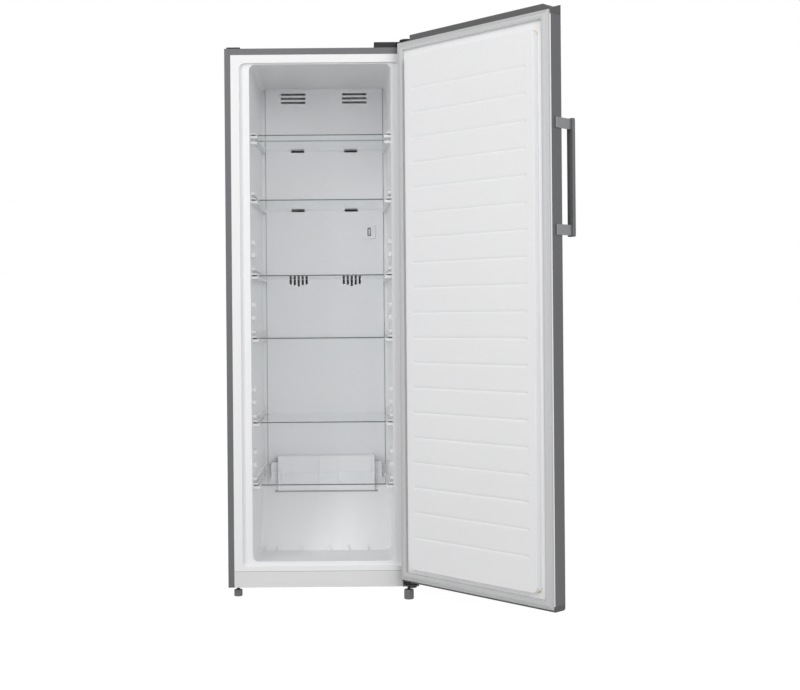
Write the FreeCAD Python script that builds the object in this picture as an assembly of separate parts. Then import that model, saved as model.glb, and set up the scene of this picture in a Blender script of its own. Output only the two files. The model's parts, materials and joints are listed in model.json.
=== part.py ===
import FreeCAD, Part
import math
import os

# An upright no-frost freezer with its door open, in millimetres.
# X runs to the right, Y into the cabinet and Z up. While a piece is made, Y = 0 is the cabinet's
# front plane and the floor is Z = 0. place() then moves it so that Y = 0 is half way through the depth.
# The door is made closed and turned about its hinge pin to the angle it stands open at.

V = FreeCAD.Vector

# ---- cabinet ----
CAB_WIDTH = 595.0
CAB_DEPTH = 575.0
CAB_BASE = 28.0          # underside of the cabinet above the floor
CAB_TOP = 1710.0
SHEET = 0.8              # steel sheet of the cabinet
SIDE_FLANGE = 19.0       # width of the steel edge seen at each side of the front
TOP_FLANGE = 20.0
LINER_T = 1.5            # plastic sheet of the inner liner
FIT = 0.3                # gap between pieces that are pushed together
KICK_H = 50.0
KICK_BEAD_RISE = 16.0
KICK_BEAD_R = 1.2
KICK_BEAD_INSET = 70.0
HALF = CAB_WIDTH / 2
FACE_BACK = SHEET + LINER_T
KICK_TOP = CAB_BASE + KICK_H

# ---- compressor bay ----
BAY_FOOT_BEHIND = 25.0   # bay's wall behind the foot of the sloped wall
BAY_HEAD_AHEAD = 10.0
TRAY_ROOM = 24.7         # above the water tray
BASE_PLATE_T = 2.0
BASE_PLATE_D = 173.2
COMP_X = 120.0
COMP_BACK = 75.0         # middle of the compressor to the cabinet's back
COMP_R = 68.0
COMP_H = 150.0
COMP_FILLET = 38.0
COMP_NECK_R = 37.0
COMP_FOOT_X = 88.0
COMP_FOOT_Y = 50.0
COMP_FOOT_T = 3.0
GROMMET_R = 10.0
GROMMET_H = 14.0
GROMMET_PIN_R = 4.0
TERMINAL_W = 46.0
TERMINAL_D = 30.0
TERMINAL_H = 60.0
TERMINAL_RISE = 45.0
TERMINAL_BITE = 6.0      # how far its box goes round the can
TRAY_LEFT = 180.0        # tray's ends from the compressor's middle
TRAY_RIGHT = 70.0
TRAY_HALF_D = 60.0
TRAY_H = 28.0
TRAY_T = 2.0
DRAIN_DIP = 10.0         # how far the drain tube reaches into the tray
CONTROL_X = -185.0
CONTROL_W = 110.0
CONTROL_D = 100.0
CONTROL_H = 95.0
DRIER_X = -90.0
DRIER_R = 9.0
DRIER_LEN = 90.0
DRIER_RISE = 49.0
PIPE_R = 3.0
PIPE_BEND = 18.0
SUCTION_X = 20.0
SUCTION_RISE = 82.0      # suction stub above the compressor's base
DISCHARGE_BACK = 30.0
DISCHARGE_RISE = 39.0
PIPE_REACH = 54.0        # pipe ends from the compressor's middle
LINE_X = 5.0             # where the line to the drier goes down
LINE_RISE = 16.0
COVER_T = 1.5
COVER_MARGIN = 4.0
COVER_SLOTS = 9
COVER_SLOT_PITCH = 22.0
COVER_SLOT_W = 6.0
COVER_SLOT_H = 110.0
COVER_SCREW_INSET = 12.0
SCREW_R = 2.0
SCREW_HEAD_R = 4.5
SCREW_HEAD_T = 2.5
SCREW_LEN = 9.0
GLAND_X = -190.0
GLAND_RISE = 42.0
GLAND_R = 7.0
GLAND_FLANGE_R = 10.0
GLAND_FLANGE_T = 3.0
GLAND_BORE_R = 3.5
GLAND_OUT = 10.0
BASE_TOP = CAB_BASE + BASE_PLATE_T
COMP_Y = CAB_DEPTH - COMP_BACK
COMP_FOOT_Z = BASE_TOP + GROMMET_H
COMP_BASE = COMP_FOOT_Z + COMP_FOOT_T
TRAY_BOTTOM = COMP_BASE + COMP_H + FIT
TRAY_X0 = COMP_X - TRAY_LEFT
TRAY_X1 = COMP_X + TRAY_RIGHT
DRIER_Z = BASE_TOP + DRIER_RISE
GLAND_Z = CAB_BASE + GLAND_RISE
BAY_TOP = TRAY_BOTTOM + TRAY_H + TRAY_ROOM

# ---- freezing space ----
RECESS_WALL = 45.5       # cabinet's side to the shallow step round the mouth
RECESS_SILL = 14.0       # step above the kick panel
RECESS_CROWN = 45.0      # step below the cabinet's top
RECESS_DEPTH = 12.0
MOUTH_WALL = 75.5
MOUTH_SILL = 29.0
MOUTH_CROWN = 48.0
SIDE_DRAFT = 7.0         # the space narrows towards the back
FLOOR_DRAFT = 22.0
CEILING_DRAFT = 1.0
BACK_WALL = 70.0
CORNER_R = 18.0
DUCT_DEPTH = 75.0        # duct panel in front of its niche's back
DUCT_PROUD = 5.0         # duct panel in front of the wall round its niche
HUMP_RUN = 158.0         # sloped wall over the compressor, seen from the side
HUMP_FOAM = 111.0        # from the compressor bay's top to the sloped wall's top
HUMP_RIB_X = (-200.0, -160.0, -75.0, 8.0, 70.0, 135.0)
HUMP_RIB_W = 5.0
HUMP_RIB_H = 16.0
HUMP_RIB_LEAD = 24.0     # ribs in front of the sloped wall's foot
HUMP_RIB_RAMP = 10.0
RECESS_HALF = HALF - RECESS_WALL
RECESS_BOTTOM = KICK_TOP + RECESS_SILL
RECESS_TOP = CAB_TOP - RECESS_CROWN
MOUTH_HALF = HALF - MOUTH_WALL
MOUTH_BOTTOM = KICK_TOP + MOUTH_SILL
MOUTH_TOP = CAB_TOP - MOUTH_CROWN
BACK_HALF = MOUTH_HALF - SIDE_DRAFT
BACK_BOTTOM = MOUTH_BOTTOM - FLOOR_DRAFT
BACK_TOP = MOUTH_TOP - CEILING_DRAFT
SPACE_BACK = CAB_DEPTH - BACK_WALL
DUCT_FRONT = SPACE_BACK - DUCT_DEPTH
WALL_BACK = DUCT_FRONT + DUCT_PROUD
HUMP_HEAD_Y = DUCT_FRONT
HUMP_FOOT_Y = HUMP_HEAD_Y - HUMP_RUN
HUMP_TOP = BAY_TOP + HUMP_FOAM
HUMP_SLOPE = (HUMP_TOP - MOUTH_BOTTOM) / HUMP_RUN
FLOOR_AT_FOOT = MOUTH_BOTTOM - FLOOR_DRAFT * HUMP_FOOT_Y / WALL_BACK
BAY_FOOT_Y = HUMP_FOOT_Y + BAY_FOOT_BEHIND
BAY_HEAD_Y = HUMP_HEAD_Y - BAY_HEAD_AHEAD

# ---- glass shelves, from the top one down ----
SHELF_RISES = (1341.0, 1135.5, 896.0, 697.0, 430.0, 232.0)   # above the mouth's lower edge
SHELF_PLAY = 2.5         # beside a shelf at the back
SHELF_T = 4.0
SHELF_FRONT = 65.0
SHELF_GAP = 6.0          # from the back edge to the duct panel
SHELF_CORNER = 10.0
LEDGE_REACH = 11.0       # how far a ledge comes in past the shelf's side edge
LEDGE_H = 8.0
LEDGE_LEAD = 8.0         # ledge in front of the shelf's front edge
RETAINER_REACH = 4.0
RETAINER_H = 5.0
RUNNER_RISE = 25.0       # drawer runner above each shelf
RUNNER_REACH = 1.0
RUNNER_H = 8.0
BOSS_RISES = (71.0, 112.0)
BOSS_H = 12.0
BOSS_LENGTH = 40.0
BOSS_FROM = 2            # first shelf with bosses over it, counted from 0
RAIL_DROP = 18.0         # dark bar under the top shelf
RAIL_H = 4.0
RAIL_DEPTH = 6.0
SHELF_Z = [MOUTH_BOTTOM + rise for rise in SHELF_RISES]
SHELF_HALF = BACK_HALF - SHELF_PLAY
SHELF_BACK = DUCT_FRONT - SHELF_GAP

# ---- air duct at the back ----
DUCT_SIDE = 12.5         # duct panel's edge to the space's side
DUCT_T = 2.5
DUCT_CROWN = 0.8
TOP_SLOT_X = 106.0       # centre of each group of three slots
TOP_SLOT_LEN = 84.0
TOP_SLOT_DROP = 18.5
TOP_SLOT_PITCH = 14.2
MID_SLOT_X = 92.0
MID_SLOT_LEN = 45.0
MID_SLOT_LIFTS = (-4.5, -4.0)   # slots behind the two upper shelves, from the shelf's height
SLOT_H = 7.0
COMB_X = 92.0
COMB_PITCH = 13.8
COMB_SLOT_W = 7.5
COMB_SLOT_H = (16.0, 18.5, 23.0, 18.5, 16.0)
COMB_DROP = 2.5          # top of the comb slots below the third shelf
SENSOR_SIDE = 48.5       # sensor cover's middle to the duct panel's edge
SENSOR_RISE = 161.0      # above the third shelf
SENSOR_W = 43.0
SENSOR_H = 47.0
SENSOR_T = 4.0
SENSOR_SLOT_W = 11.0
SENSOR_SLOT_H = 29.0
COWL_SIDE = 37.5
COWL_REACH = 58.0        # in front of the duct panel
COWL_RISE = 35.0
COWL_DROP = 83.0
COWL_T = 2.0
WING_SIDE = 12.5
WING_REACH = 36.0
WING_RISE = 11.0
WING_DROP = 61.0
COWL_RIB_X = (-24.0, 38.0)
COWL_RIB_W = 3.0
DUCT_HALF = BACK_HALF - DUCT_SIDE
DUCT_TOP = BACK_TOP - DUCT_CROWN
TOP_SLOT_Z = DUCT_TOP - TOP_SLOT_DROP
SENSOR_X = DUCT_HALF - SENSOR_SIDE
SENSOR_Z = SHELF_Z[2] + SENSOR_RISE
COWL_HALF = DUCT_HALF - COWL_SIDE
COWL_FRONT = DUCT_FRONT - COWL_REACH
COWL_TOP = HUMP_TOP + COWL_RISE
COWL_BOTTOM = HUMP_TOP - COWL_DROP
WING_HALF = DUCT_HALF - WING_SIDE
WING_FRONT = DUCT_FRONT - WING_REACH
WING_TOP = HUMP_TOP + WING_RISE
WING_BOTTOM = HUMP_TOP - WING_DROP

# ---- evaporator, heater and fan behind the duct panel ----
COIL_SIDE = 52.5
COIL_R = 4.0
COIL_RUNS = 8
COIL_PITCH = 30.0
COIL_RISE = 51.0         # lowest run above the sloped wall's top
COIL_BEHIND = 40.0       # behind the duct panel's face
COIL_BEND_SHARE = 0.45   # bend radius as a share of the pitch
FIN_COUNT = 14
FIN_T = 0.8
FIN_DEPTH = 44.0
END_PLATE_T = 1.5
HEATER_R = 4.5
HEATER_DROP = 24.0
TUBE_FIT = 0.1
TROUGH_SIDE = 22.5
TROUGH_H = 14.0
TROUGH_T = 1.5
TROUGH_MARGIN = 5.0
DRAIN_R = 9.0
DRAIN_WALL = 1.5
DRAIN_X = 0.0
FAN_RISE = 399.0
FAN_R = 52.0
FAN_HUB_R = 14.0
FAN_HUB_L = 16.0
FAN_BLADES = 5
FAN_BLADE_T = 1.6
FAN_TILT = 32.0
FAN_SHAFT_R = 2.5
FAN_MOTOR_R = 24.0
FAN_MOTOR_L = 26.0
FAN_MOTOR_LUG = 14.0
FAN_PLATE_T = 2.0
SHROUD_HALF = 76.0
SHROUD_T = 2.0
SHROUD_MOUTH_R = 47.0
SHROUD_POST_R = 4.0
SHROUD_GAP = 13.0        # from the duct panel to the shroud
SHAFT_FIT = 0.05
COIL_HALF = DUCT_HALF - COIL_SIDE
COIL_BOTTOM = HUMP_TOP + COIL_RISE
COIL_Y = DUCT_FRONT + COIL_BEHIND
TROUGH_HALF = DUCT_HALF - TROUGH_SIDE
FAN_Z = HUMP_TOP + FAN_RISE

# ---- condenser tube on the side panels ----
CONDENSER_R = 2.4
CONDENSER_RUNS = 4
CONDENSER_Y0 = 120.0
CONDENSER_PITCH = 100.0
CONDENSER_RISE = 302.0   # above the cabinet's base
CONDENSER_DROP = 150.0   # below its top
CONDENSER_LOW = CAB_BASE + CONDENSER_RISE
CONDENSER_HIGH = CAB_TOP - CONDENSER_DROP

# ---- feet and rollers ----
RAIL_D = 59.7            # box rail across the front, under the foam
RAIL_BOX_H = 24.0
RAIL_BOX_T = 2.0
STEM_R = 5.0
STEM_FIT = 0.08
LEFT_FOOT_SIDE = 29.5    # foot's middle from the cabinet's side
LEFT_FOOT_Y = 15.0
LEFT_FOOT_R = 13.0
LEFT_FOOT_GAP = 8.0      # between the foot's disc and the rail
RIGHT_FOOT_R = 15.0
RIGHT_FOOT_GAP = 13.0    # between the foot's disc and the hinge arm
RIGHT_FOOT_LEFT = 10.5   # of the hinge pin
RIGHT_FOOT_AHEAD = 10.7
FOOT_FLUTES = 14
FLUTE_R = 1.5
FLUTE_START = 0.25       # share of the foot's height left plain at the floor
STEM_OVER = 4.0          # stem above the plate that the foot is screwed through
ROLLER_SIDE = 42.5
ROLLER_BACK = 40.0
ROLLER_HEADROOM = 2.0
ROLLER_W = 20.0
ROLLER_GAP = 0.6
AXLE_R = 3.0
CHEEK_T = 2.0
CHEEK_HALF = 10.0
CHEEK_LOW = 6.0
RAIL_Y1 = FACE_BACK + RAIL_D
LEFT_FOOT_X = LEFT_FOOT_SIDE - HALF
LEFT_FOOT_H = CAB_BASE - LEFT_FOOT_GAP
ROLLER_R = (CAB_BASE - ROLLER_HEADROOM) / 2
ROLLER_X = HALF - ROLLER_SIDE
ROLLER_Y = CAB_DEPTH - ROLLER_BACK

# ---- door ----
DOOR_OPEN = 133.5        # angle from closed, in degrees
DOOR_INSET = 1.0         # door's edge inside the cabinet's side
DOOR_T = 44.5
DOOR_LIFT = 24.0         # bottom of the door above the cabinet's base
DOOR_OVER = 7.0          # top of the door above the cabinet's top
DOOR_CAP_H = 16.0        # depth of each end cap
DOOR_SHEET = 0.7
RIDGE_RISE = 16.0
RIDGE_START = 49.5       # from the hinge edge
RIDGE_END = 18.5         # from the free edge
RIDGE_END_R = 14.0
RIDGE_END_DROP = 2.0     # front corner of the free end below the ridge's top
RIDGE_BACK = 2.0
RIDGE_EDGE = 1.0
BOTTOM_ROUND = 7.0
GASKET_T = 12.0
GASKET_W = 24.0
GASKET_INSET = 4.0
GASKET_LIFT = 6.5
GASKET_OVER = 2.5        # above the cabinet's top
GASKET_SEAT = 0.4        # gap left to the cabinet when closed
GASKET_CORNER = 6.0
PLATEAU_GAP = 4.0        # to the floor of the step when closed
PLATEAU_SIDE = 4.0       # inside the step round the mouth
PLATEAU_SILL = 8.0
PLATEAU_CROWN = 3.5
PLATEAU_TAPER = 5.0
PLATEAU_CORNER = 16.0
GROOVES = 19
GROOVE_CROWN = 97.5      # top groove below the raised middle's top
GROOVE_SILL = 98.7
GROOVE_SIDE = 31.0
GROOVE_R = 4.0
GROOVE_DEPTH = 2.2
BUSH_R = 7.0
BUSH_L = 14.0
BUSH_FLANGE_R = 9.0
BUSH_FLANGE_T = 1.5
STOP_START = 44.0        # from the hinge edge
STOP_LEN = 24.0
STOP_IN = 18.0           # from the door's inner face
STOP_W = 22.0
STOP_H = 5.5
STOP_CORNER = 5.2
DOOR_HALF = HALF - DOOR_INSET
DOOR_IN = -GASKET_T
DOOR_FRONT = DOOR_IN - DOOR_T
DOOR_BOTTOM = CAB_BASE + DOOR_LIFT
DOOR_TOP = CAB_TOP + DOOR_OVER
SKIN_BOTTOM = DOOR_BOTTOM + DOOR_CAP_H
SKIN_TOP = DOOR_TOP - DOOR_CAP_H
RIDGE_TOP = DOOR_TOP + RIDGE_RISE
GASKET_BOTTOM = DOOR_BOTTOM + GASKET_LIFT
GASKET_TOP = CAB_TOP + GASKET_OVER
PLATEAU_RISE = GASKET_T + RECESS_DEPTH - PLATEAU_GAP
PLATEAU_HALF = RECESS_HALF - PLATEAU_SIDE
PLATEAU_BOTTOM = RECESS_BOTTOM + PLATEAU_SILL
PLATEAU_TOP = RECESS_TOP - PLATEAU_CROWN
GROOVE_HALF = PLATEAU_HALF - GROOVE_SIDE
GROOVE_TOP = PLATEAU_TOP - GROOVE_CROWN
GROOVE_PITCH = (GROOVE_TOP - PLATEAU_BOTTOM - GROOVE_SILL) / (GROOVES - 1)

# ---- hinges ----
PIN_IN = 22.0            # from the door's hinge edge
PIN_DEPTH = 22.3         # into the door from its inner face
PIN_R = 4.0
PIN_FIT = 0.05
PLATE_T = 3.0
ARM_GAP = 0.5            # between the top arm and the door's bush
TOP_PIN_L = 14.0
TOP_PLATE_LEFT = 78.5    # of the pin
TOP_PLATE_DEPTH = 62.0
ARM_HALF = 15.0
HINGE_COVER_LEFT = 104.5
HINGE_COVER_RIGHT = 17.5
HINGE_COVER_Y0 = 4.0
HINGE_COVER_Y1 = 74.0
HINGE_COVER_H = 18.0
HINGE_COVER_T = 2.0
NOSE_LEFT = 34.5         # of the pin, behind the door's ridge
NOSE_FRONT_Y = -13.0
TONGUE_LEFT = 25.5       # of the pin, over the arm
NOSE_LIFT = 1.9          # underside of the nose above the door's top
HINGE_SCREW_R = 2.5
HINGE_SCREW_HEAD_R = 5.0
HINGE_SCREW_HEAD_T = 3.0
HINGE_SCREW_LEN = 14.0
TOP_SCREW_LEFT = (66.5, 42.5, 12.5)
TOP_SCREW_Y = 50.0
ARM_DROP = 10.0          # underside of the bottom arm below the door
BRACKET_LEFT = 27.5
BRACKET_RIGHT = 16.5
BRACKET_AHEAD = 16.0     # bracket's front edge in front of the foot's middle
BRACKET_CORNER = 12.0
BRACKET_H = 26.0
BOTTOM_SCREW_LEFT = (20.5, 2.5)
BOTTOM_SCREW_RISE = 6.0
COLLAR_R = 7.0
PIN_BOSS_R = 14.5        # under the bottom arm, round the pin
PIN_BOSS_H = 9.0
CORNER_CAP_SIDE = 6.0
CORNER_CAP_LEN = 43.0
CORNER_CAP_Y0 = 5.0
CORNER_CAP_D = 46.0
CORNER_CAP_H = 5.5
CORNER_CAP_ROUND = 2.2
PIN_X = DOOR_HALF - PIN_IN
PIN_Y = DOOR_IN - PIN_DEPTH
ARM_TOP_Z = DOOR_TOP + BUSH_FLANGE_T + ARM_GAP
TOP_PLATE_X0 = PIN_X - TOP_PLATE_LEFT
HINGE_COVER_X0 = PIN_X - HINGE_COVER_LEFT
HINGE_COVER_X1 = PIN_X + HINGE_COVER_RIGHT
NOSE_X0 = PIN_X - NOSE_LEFT
TONGUE_X0 = PIN_X - TONGUE_LEFT
NOSE_TOP = ARM_TOP_Z + PLATE_T + FIT + HINGE_COVER_T
TOP_SCREW_X = [PIN_X - left for left in TOP_SCREW_LEFT]
ARM_Z = DOOR_BOTTOM - ARM_DROP
BRACKET_X0 = PIN_X - BRACKET_LEFT
BRACKET_X1 = PIN_X + BRACKET_RIGHT
BOTTOM_SCREW_X = [PIN_X - left for left in BOTTOM_SCREW_LEFT]
BOTTOM_SCREW_Z = CAB_BASE + BOTTOM_SCREW_RISE
RIGHT_FOOT_X = PIN_X - RIGHT_FOOT_LEFT
RIGHT_FOOT_Y = PIN_Y - RIGHT_FOOT_AHEAD
RIGHT_FOOT_H = ARM_Z - RIGHT_FOOT_GAP
BRACKET_FRONT = RIGHT_FOOT_Y - BRACKET_AHEAD

# ---- handle ----
HANDLE_DROP = 296.0      # top of the bar below the door's top
HANDLE_LEN = 332.0
HANDLE_BAR_W = 23.0
HANDLE_BAR_T = 12.5
HANDLE_BAR_OUT = 10.0    # bar past the door's free side
HANDLE_GAP = 39.0        # fingers' room between the door front and the bar
HANDLE_ROUND = 5.0
LUG_T = 4.0              # the lugs that carry the bar
LUG_H = 30.0
LUG_BACK = 28.5          # lug's foot behind the door's front face
LUG_MARGIN = 3.0         # from the bar's end
HANDLE_BOTTOM = DOOR_TOP - HANDLE_DROP - HANDLE_LEN
OVER = 1.0               # how far a cutting shape runs past the piece it cuts


def box(x0, x1, y0, y1, z0, z1):
    return Part.makeBox(x1 - x0, y1 - y0, z1 - z0, V(x0, y0, z0))


def post(x, y, z0, z1, r):
    return Part.makeCylinder(r, z1 - z0, V(x, y, z0))


def bar_x(x0, x1, y, z, r):
    return Part.makeCylinder(r, x1 - x0, V(x0, y, z), V(1, 0, 0))


def bar_y(x, y0, y1, z, r):
    return Part.makeCylinder(r, y1 - y0, V(x, y0, z), V(0, 1, 0))


def prism(points, run):
    corners = [V(*p) for p in points]
    face = Part.Face(Part.makePolygon(corners + corners[:1]))
    return face.extrude(V(*run))


def prism_x(points, x0, x1):
    return prism([(x0, y, z) for y, z in points], (x1 - x0, 0, 0))


def fuse(pieces):
    if len(pieces) == 1:
        return pieces[0]
    return pieces[0].multiFuse(pieces[1:]).removeSplitter()


def cut(shape, tools):
    for tool in tools:
        shape = shape.cut(tool)
    return shape


def rounded_wire(x0, x1, z0, z1, r, y):
    """A rectangle with round corners in the upright plane at y."""
    k = r * (1 - math.sqrt(0.5))
    line = lambda a, b: Part.makeLine(V(a[0], y, a[1]), V(b[0], y, b[1]))
    arc = lambda a, b, c: Part.Arc(V(a[0], y, a[1]), V(b[0], y, b[1]), V(c[0], y, c[1])).toShape()
    edges = [
        line((x0 + r, z0), (x1 - r, z0)),
        arc((x1 - r, z0), (x1 - k, z0 + k), (x1, z0 + r)),
        line((x1, z0 + r), (x1, z1 - r)),
        arc((x1, z1 - r), (x1 - k, z1 - k), (x1 - r, z1)),
        line((x1 - r, z1), (x0 + r, z1)),
        arc((x0 + r, z1), (x0 + k, z1 - k), (x0, z1 - r)),
        line((x0, z1 - r), (x0, z0 + r)),
        arc((x0, z0 + r), (x0 + k, z0 + k), (x0 + r, z0)),
    ]
    return Part.Wire(edges)


def rounded_block(x0, x1, z0, z1, r, y0, y1):
    return Part.Face(rounded_wire(x0, x1, z0, z1, r, y0)).extrude(V(0, y1 - y0, 0))


def upright_edges(shape):
    return [e for e in shape.Edges if abs(e.tangentAt(e.FirstParameter).z) > 0.999]


def mirror(shape):
    return shape.mirror(V(0, 0, 0), V(1, 0, 0))


def pipe(points, r, bend):
    """A round tube along straight runs joined by arcs."""
    points = [V(*p) for p in points]
    edges = []
    start = points[0]
    for before, corner, after in zip(points, points[1:], points[2:]):
        into = (corner - before).normalize()
        out = (after - corner).normalize()
        half_turn = into.getAngle(out) / 2
        trim = bend * math.tan(half_turn)
        a = corner - into * trim
        b = corner + out * trim
        inward = (out - into).normalize()
        middle = corner + inward * (bend / math.cos(half_turn) - bend)
        edges.append(Part.makeLine(start, a))
        edges.append(Part.Arc(a, middle, b).toShape())
        start = b
    edges.append(Part.makeLine(start, points[-1]))
    path = Part.Wire(edges)
    circle = Part.Wire([Part.makeCircle(r, points[0], (points[1] - points[0]).normalize())])
    return path.makePipeShell([circle], True, False)


def place(shape):
    moved = shape.copy()
    moved.translate(V(0, -CAB_DEPTH / 2, 0))
    return moved


def save(node, *solids):
    shape = solids[0] if len(solids) == 1 else Part.makeCompound(list(solids))
    if not shape.isValid():
        print("not valid:", node)
    place(shape).exportStep("parts/" + node + ".step")


def save_on_door(node, *solids):
    turned = []
    for solid in solids:
        copy = solid.copy()
        copy.rotate(V(PIN_X, PIN_Y, 0), V(0, 0, 1), DOOR_OPEN)
        turned.append(copy)
    save(node, *turned)


# ---- shared shapes ----

def hump(grow):
    """The solid under the sloped wall; grow thins it to the wall's far side."""
    lift = grow * math.sqrt(1 + HUMP_SLOPE ** 2)
    top = HUMP_TOP - grow
    low = BACK_BOTTOM - 2 * LINER_T - OVER
    y_at = lambda z: HUMP_FOOT_Y + (z - MOUTH_BOTTOM + lift) / HUMP_SLOPE
    far = SPACE_BACK + 2 * LINER_T + OVER
    return prism_x([(y_at(low), low), (y_at(top), top), (far, top), (far, low)], -HALF, HALF)


def space(grow):
    """The freezing space, or the same space with the liner's sheet added."""
    recess = rounded_block(-RECESS_HALF - grow, RECESS_HALF + grow, RECESS_BOTTOM - grow, RECESS_TOP + grow,
                           CORNER_R + grow, -OVER, RECESS_DEPTH + grow)
    mouth = rounded_wire(-MOUTH_HALF - grow, MOUTH_HALF + grow, MOUTH_BOTTOM - grow, MOUTH_TOP + grow,
                         CORNER_R + grow, 0)
    back = rounded_wire(-BACK_HALF - grow, BACK_HALF + grow, BACK_BOTTOM - grow, BACK_TOP + grow,
                        CORNER_R + grow, WALL_BACK + grow)
    room = Part.makeLoft([mouth, back], True, True)
    side = DUCT_HALF + FIT + grow
    niche = box(-side, side, WALL_BACK - OVER, SPACE_BACK + grow, BACK_BOTTOM, DUCT_TOP + FIT + grow)
    return fuse([recess, room, niche]).cut(hump(grow))


def bay():
    """The room for the compressor with the sheet round it, left out of the foam."""
    foot = BAY_FOOT_Y - SHEET
    head = BAY_HEAD_Y - SHEET
    top = BAY_TOP + SHEET
    far = CAB_DEPTH + OVER
    return prism_x([(foot, CAB_BASE - OVER), (foot, CAB_BASE + SHEET), (head, top), (far, top),
                    (far, CAB_BASE - OVER)], -HALF, HALF)


def condenser_path(side):
    x = side * (HALF - SHEET - CONDENSER_R - TUBE_FIT)
    points = []
    for run in range(CONDENSER_RUNS):
        y = CONDENSER_Y0 + run * CONDENSER_PITCH
        ends = [(x, y, CONDENSER_LOW), (x, y, CONDENSER_HIGH)]
        points += ends if run % 2 == 0 else ends[::-1]
    return points


def condenser(side, r):
    return pipe(condenser_path(side), r, CONDENSER_PITCH * COIL_BEND_SHARE)


# ---- cabinet shell ----

def side_panel():
    plate = box(HALF - SHEET, HALF, 0, CAB_DEPTH, CAB_BASE, CAB_TOP)
    flange = box(HALF - SIDE_FLANGE, HALF, 0, SHEET, CAB_BASE, CAB_TOP)
    return fuse([plate, flange])


def top_panel():
    plate = box(SHEET - HALF, HALF - SHEET, SHEET, CAB_DEPTH, CAB_TOP - SHEET, CAB_TOP)
    flange = box(SIDE_FLANGE - HALF, HALF - SIDE_FLANGE, 0, SHEET, CAB_TOP - TOP_FLANGE, CAB_TOP)
    holes = [post(x, TOP_SCREW_Y, CAB_TOP - SHEET - OVER, CAB_TOP + OVER, HINGE_SCREW_R) for x in TOP_SCREW_X]
    return cut(fuse([plate, flange]), holes)


def back_panel():
    return box(SHEET - HALF, HALF - SHEET, CAB_DEPTH - SHEET, CAB_DEPTH, BAY_TOP, CAB_TOP - SHEET)


def bottom_panel():
    """One bent sheet under the foam, up the slope and over the compressor."""
    outer = prism_x([(RAIL_Y1, CAB_BASE), (BAY_FOOT_Y, CAB_BASE), (BAY_HEAD_Y, BAY_TOP),
                     (CAB_DEPTH - SHEET, BAY_TOP), (CAB_DEPTH - SHEET, BAY_TOP + SHEET),
                     (BAY_HEAD_Y - SHEET, BAY_TOP + SHEET), (BAY_FOOT_Y - SHEET, CAB_BASE + SHEET),
                     (RAIL_Y1, CAB_BASE + SHEET)], SHEET - HALF, HALF - SHEET)
    return cut(outer, [drain_hole(), suction_hole()])


def front_rail():
    x1 = HALF - SHEET - FIT
    z1 = CAB_BASE + RAIL_BOX_H
    outer = box(-x1, x1, FACE_BACK, RAIL_Y1, CAB_BASE, z1)
    inner = box(-x1 - OVER, x1 + OVER, FACE_BACK + RAIL_BOX_T, RAIL_Y1 - RAIL_BOX_T,
                CAB_BASE + RAIL_BOX_T, z1 - RAIL_BOX_T)
    holes = [post(LEFT_FOOT_X, LEFT_FOOT_Y, CAB_BASE - OVER, CAB_BASE + RAIL_BOX_T + OVER, STEM_R + STEM_FIT)]
    for x in BOTTOM_SCREW_X:
        holes.append(bar_y(x, 0, FACE_BACK + RAIL_BOX_T + OVER, BOTTOM_SCREW_Z, HINGE_SCREW_R))
    return cut(outer, [inner] + holes)


def drain_hole():
    return post(DRAIN_X, COIL_Y, BAY_TOP - OVER, HUMP_TOP + OVER, DRAIN_R + TUBE_FIT)


def suction_hole():
    return post(SUCTION_X, COIL_Y, BAY_TOP - OVER, COIL_BOTTOM, PIPE_R + TUBE_FIT)


def cabinet_foam():
    edge = HALF - SHEET
    block = box(-edge, edge, FACE_BACK, CAB_DEPTH - SHEET, CAB_BASE + SHEET, CAB_TOP - SHEET)
    block = cut(block, [condenser(side, CONDENSER_R + FIT) for side in (-1, 1)])
    rail = box(-edge, edge, 0, RAIL_Y1, CAB_BASE, CAB_BASE + RAIL_BOX_H)
    block = cut(block, [rail, bay(), space(LINER_T), drain_hole(), suction_hole()])
    low = CAB_TOP - 2 * HINGE_SCREW_LEN
    screws = [post(x, TOP_SCREW_Y, low, CAB_TOP, HINGE_SCREW_R) for x in TOP_SCREW_X]
    return cut(block, screws)


# ---- liner ----

def ledge(z, reach, height, y0, y1):
    """A moulded rib on the right wall; height runs down from z."""
    return box(SHELF_HALF - reach, HALF, y0, y1, z - height, z)


def wall_ribs():
    ledge_front = SHELF_FRONT - LEDGE_LEAD
    ribs = []
    for z in SHELF_Z:
        ribs.append(ledge(z - SHELF_T / 2 - FIT, LEDGE_REACH, LEDGE_H, ledge_front, SHELF_BACK))
        ribs.append(ledge(z + SHELF_T / 2 + FIT + RETAINER_H, RETAINER_REACH, RETAINER_H,
                          ledge_front, SHELF_BACK))
    for z in SHELF_Z[1:]:
        ribs.append(ledge(z + RUNNER_RISE, RUNNER_REACH, RUNNER_H, ledge_front, SHELF_BACK))
    for z in SHELF_Z[BOSS_FROM:]:
        for rise in BOSS_RISES:
            ribs.append(ledge(z + rise, RUNNER_REACH, BOSS_H, ledge_front, ledge_front + BOSS_LENGTH))
    rail_seat = SHELF_Z[0] - RAIL_DROP
    ribs.append(ledge(rail_seat - RAIL_H / 2 - FIT, LEDGE_REACH, LEDGE_H, ledge_front,
                      SHELF_FRONT + RAIL_DEPTH))
    return ribs


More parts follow.
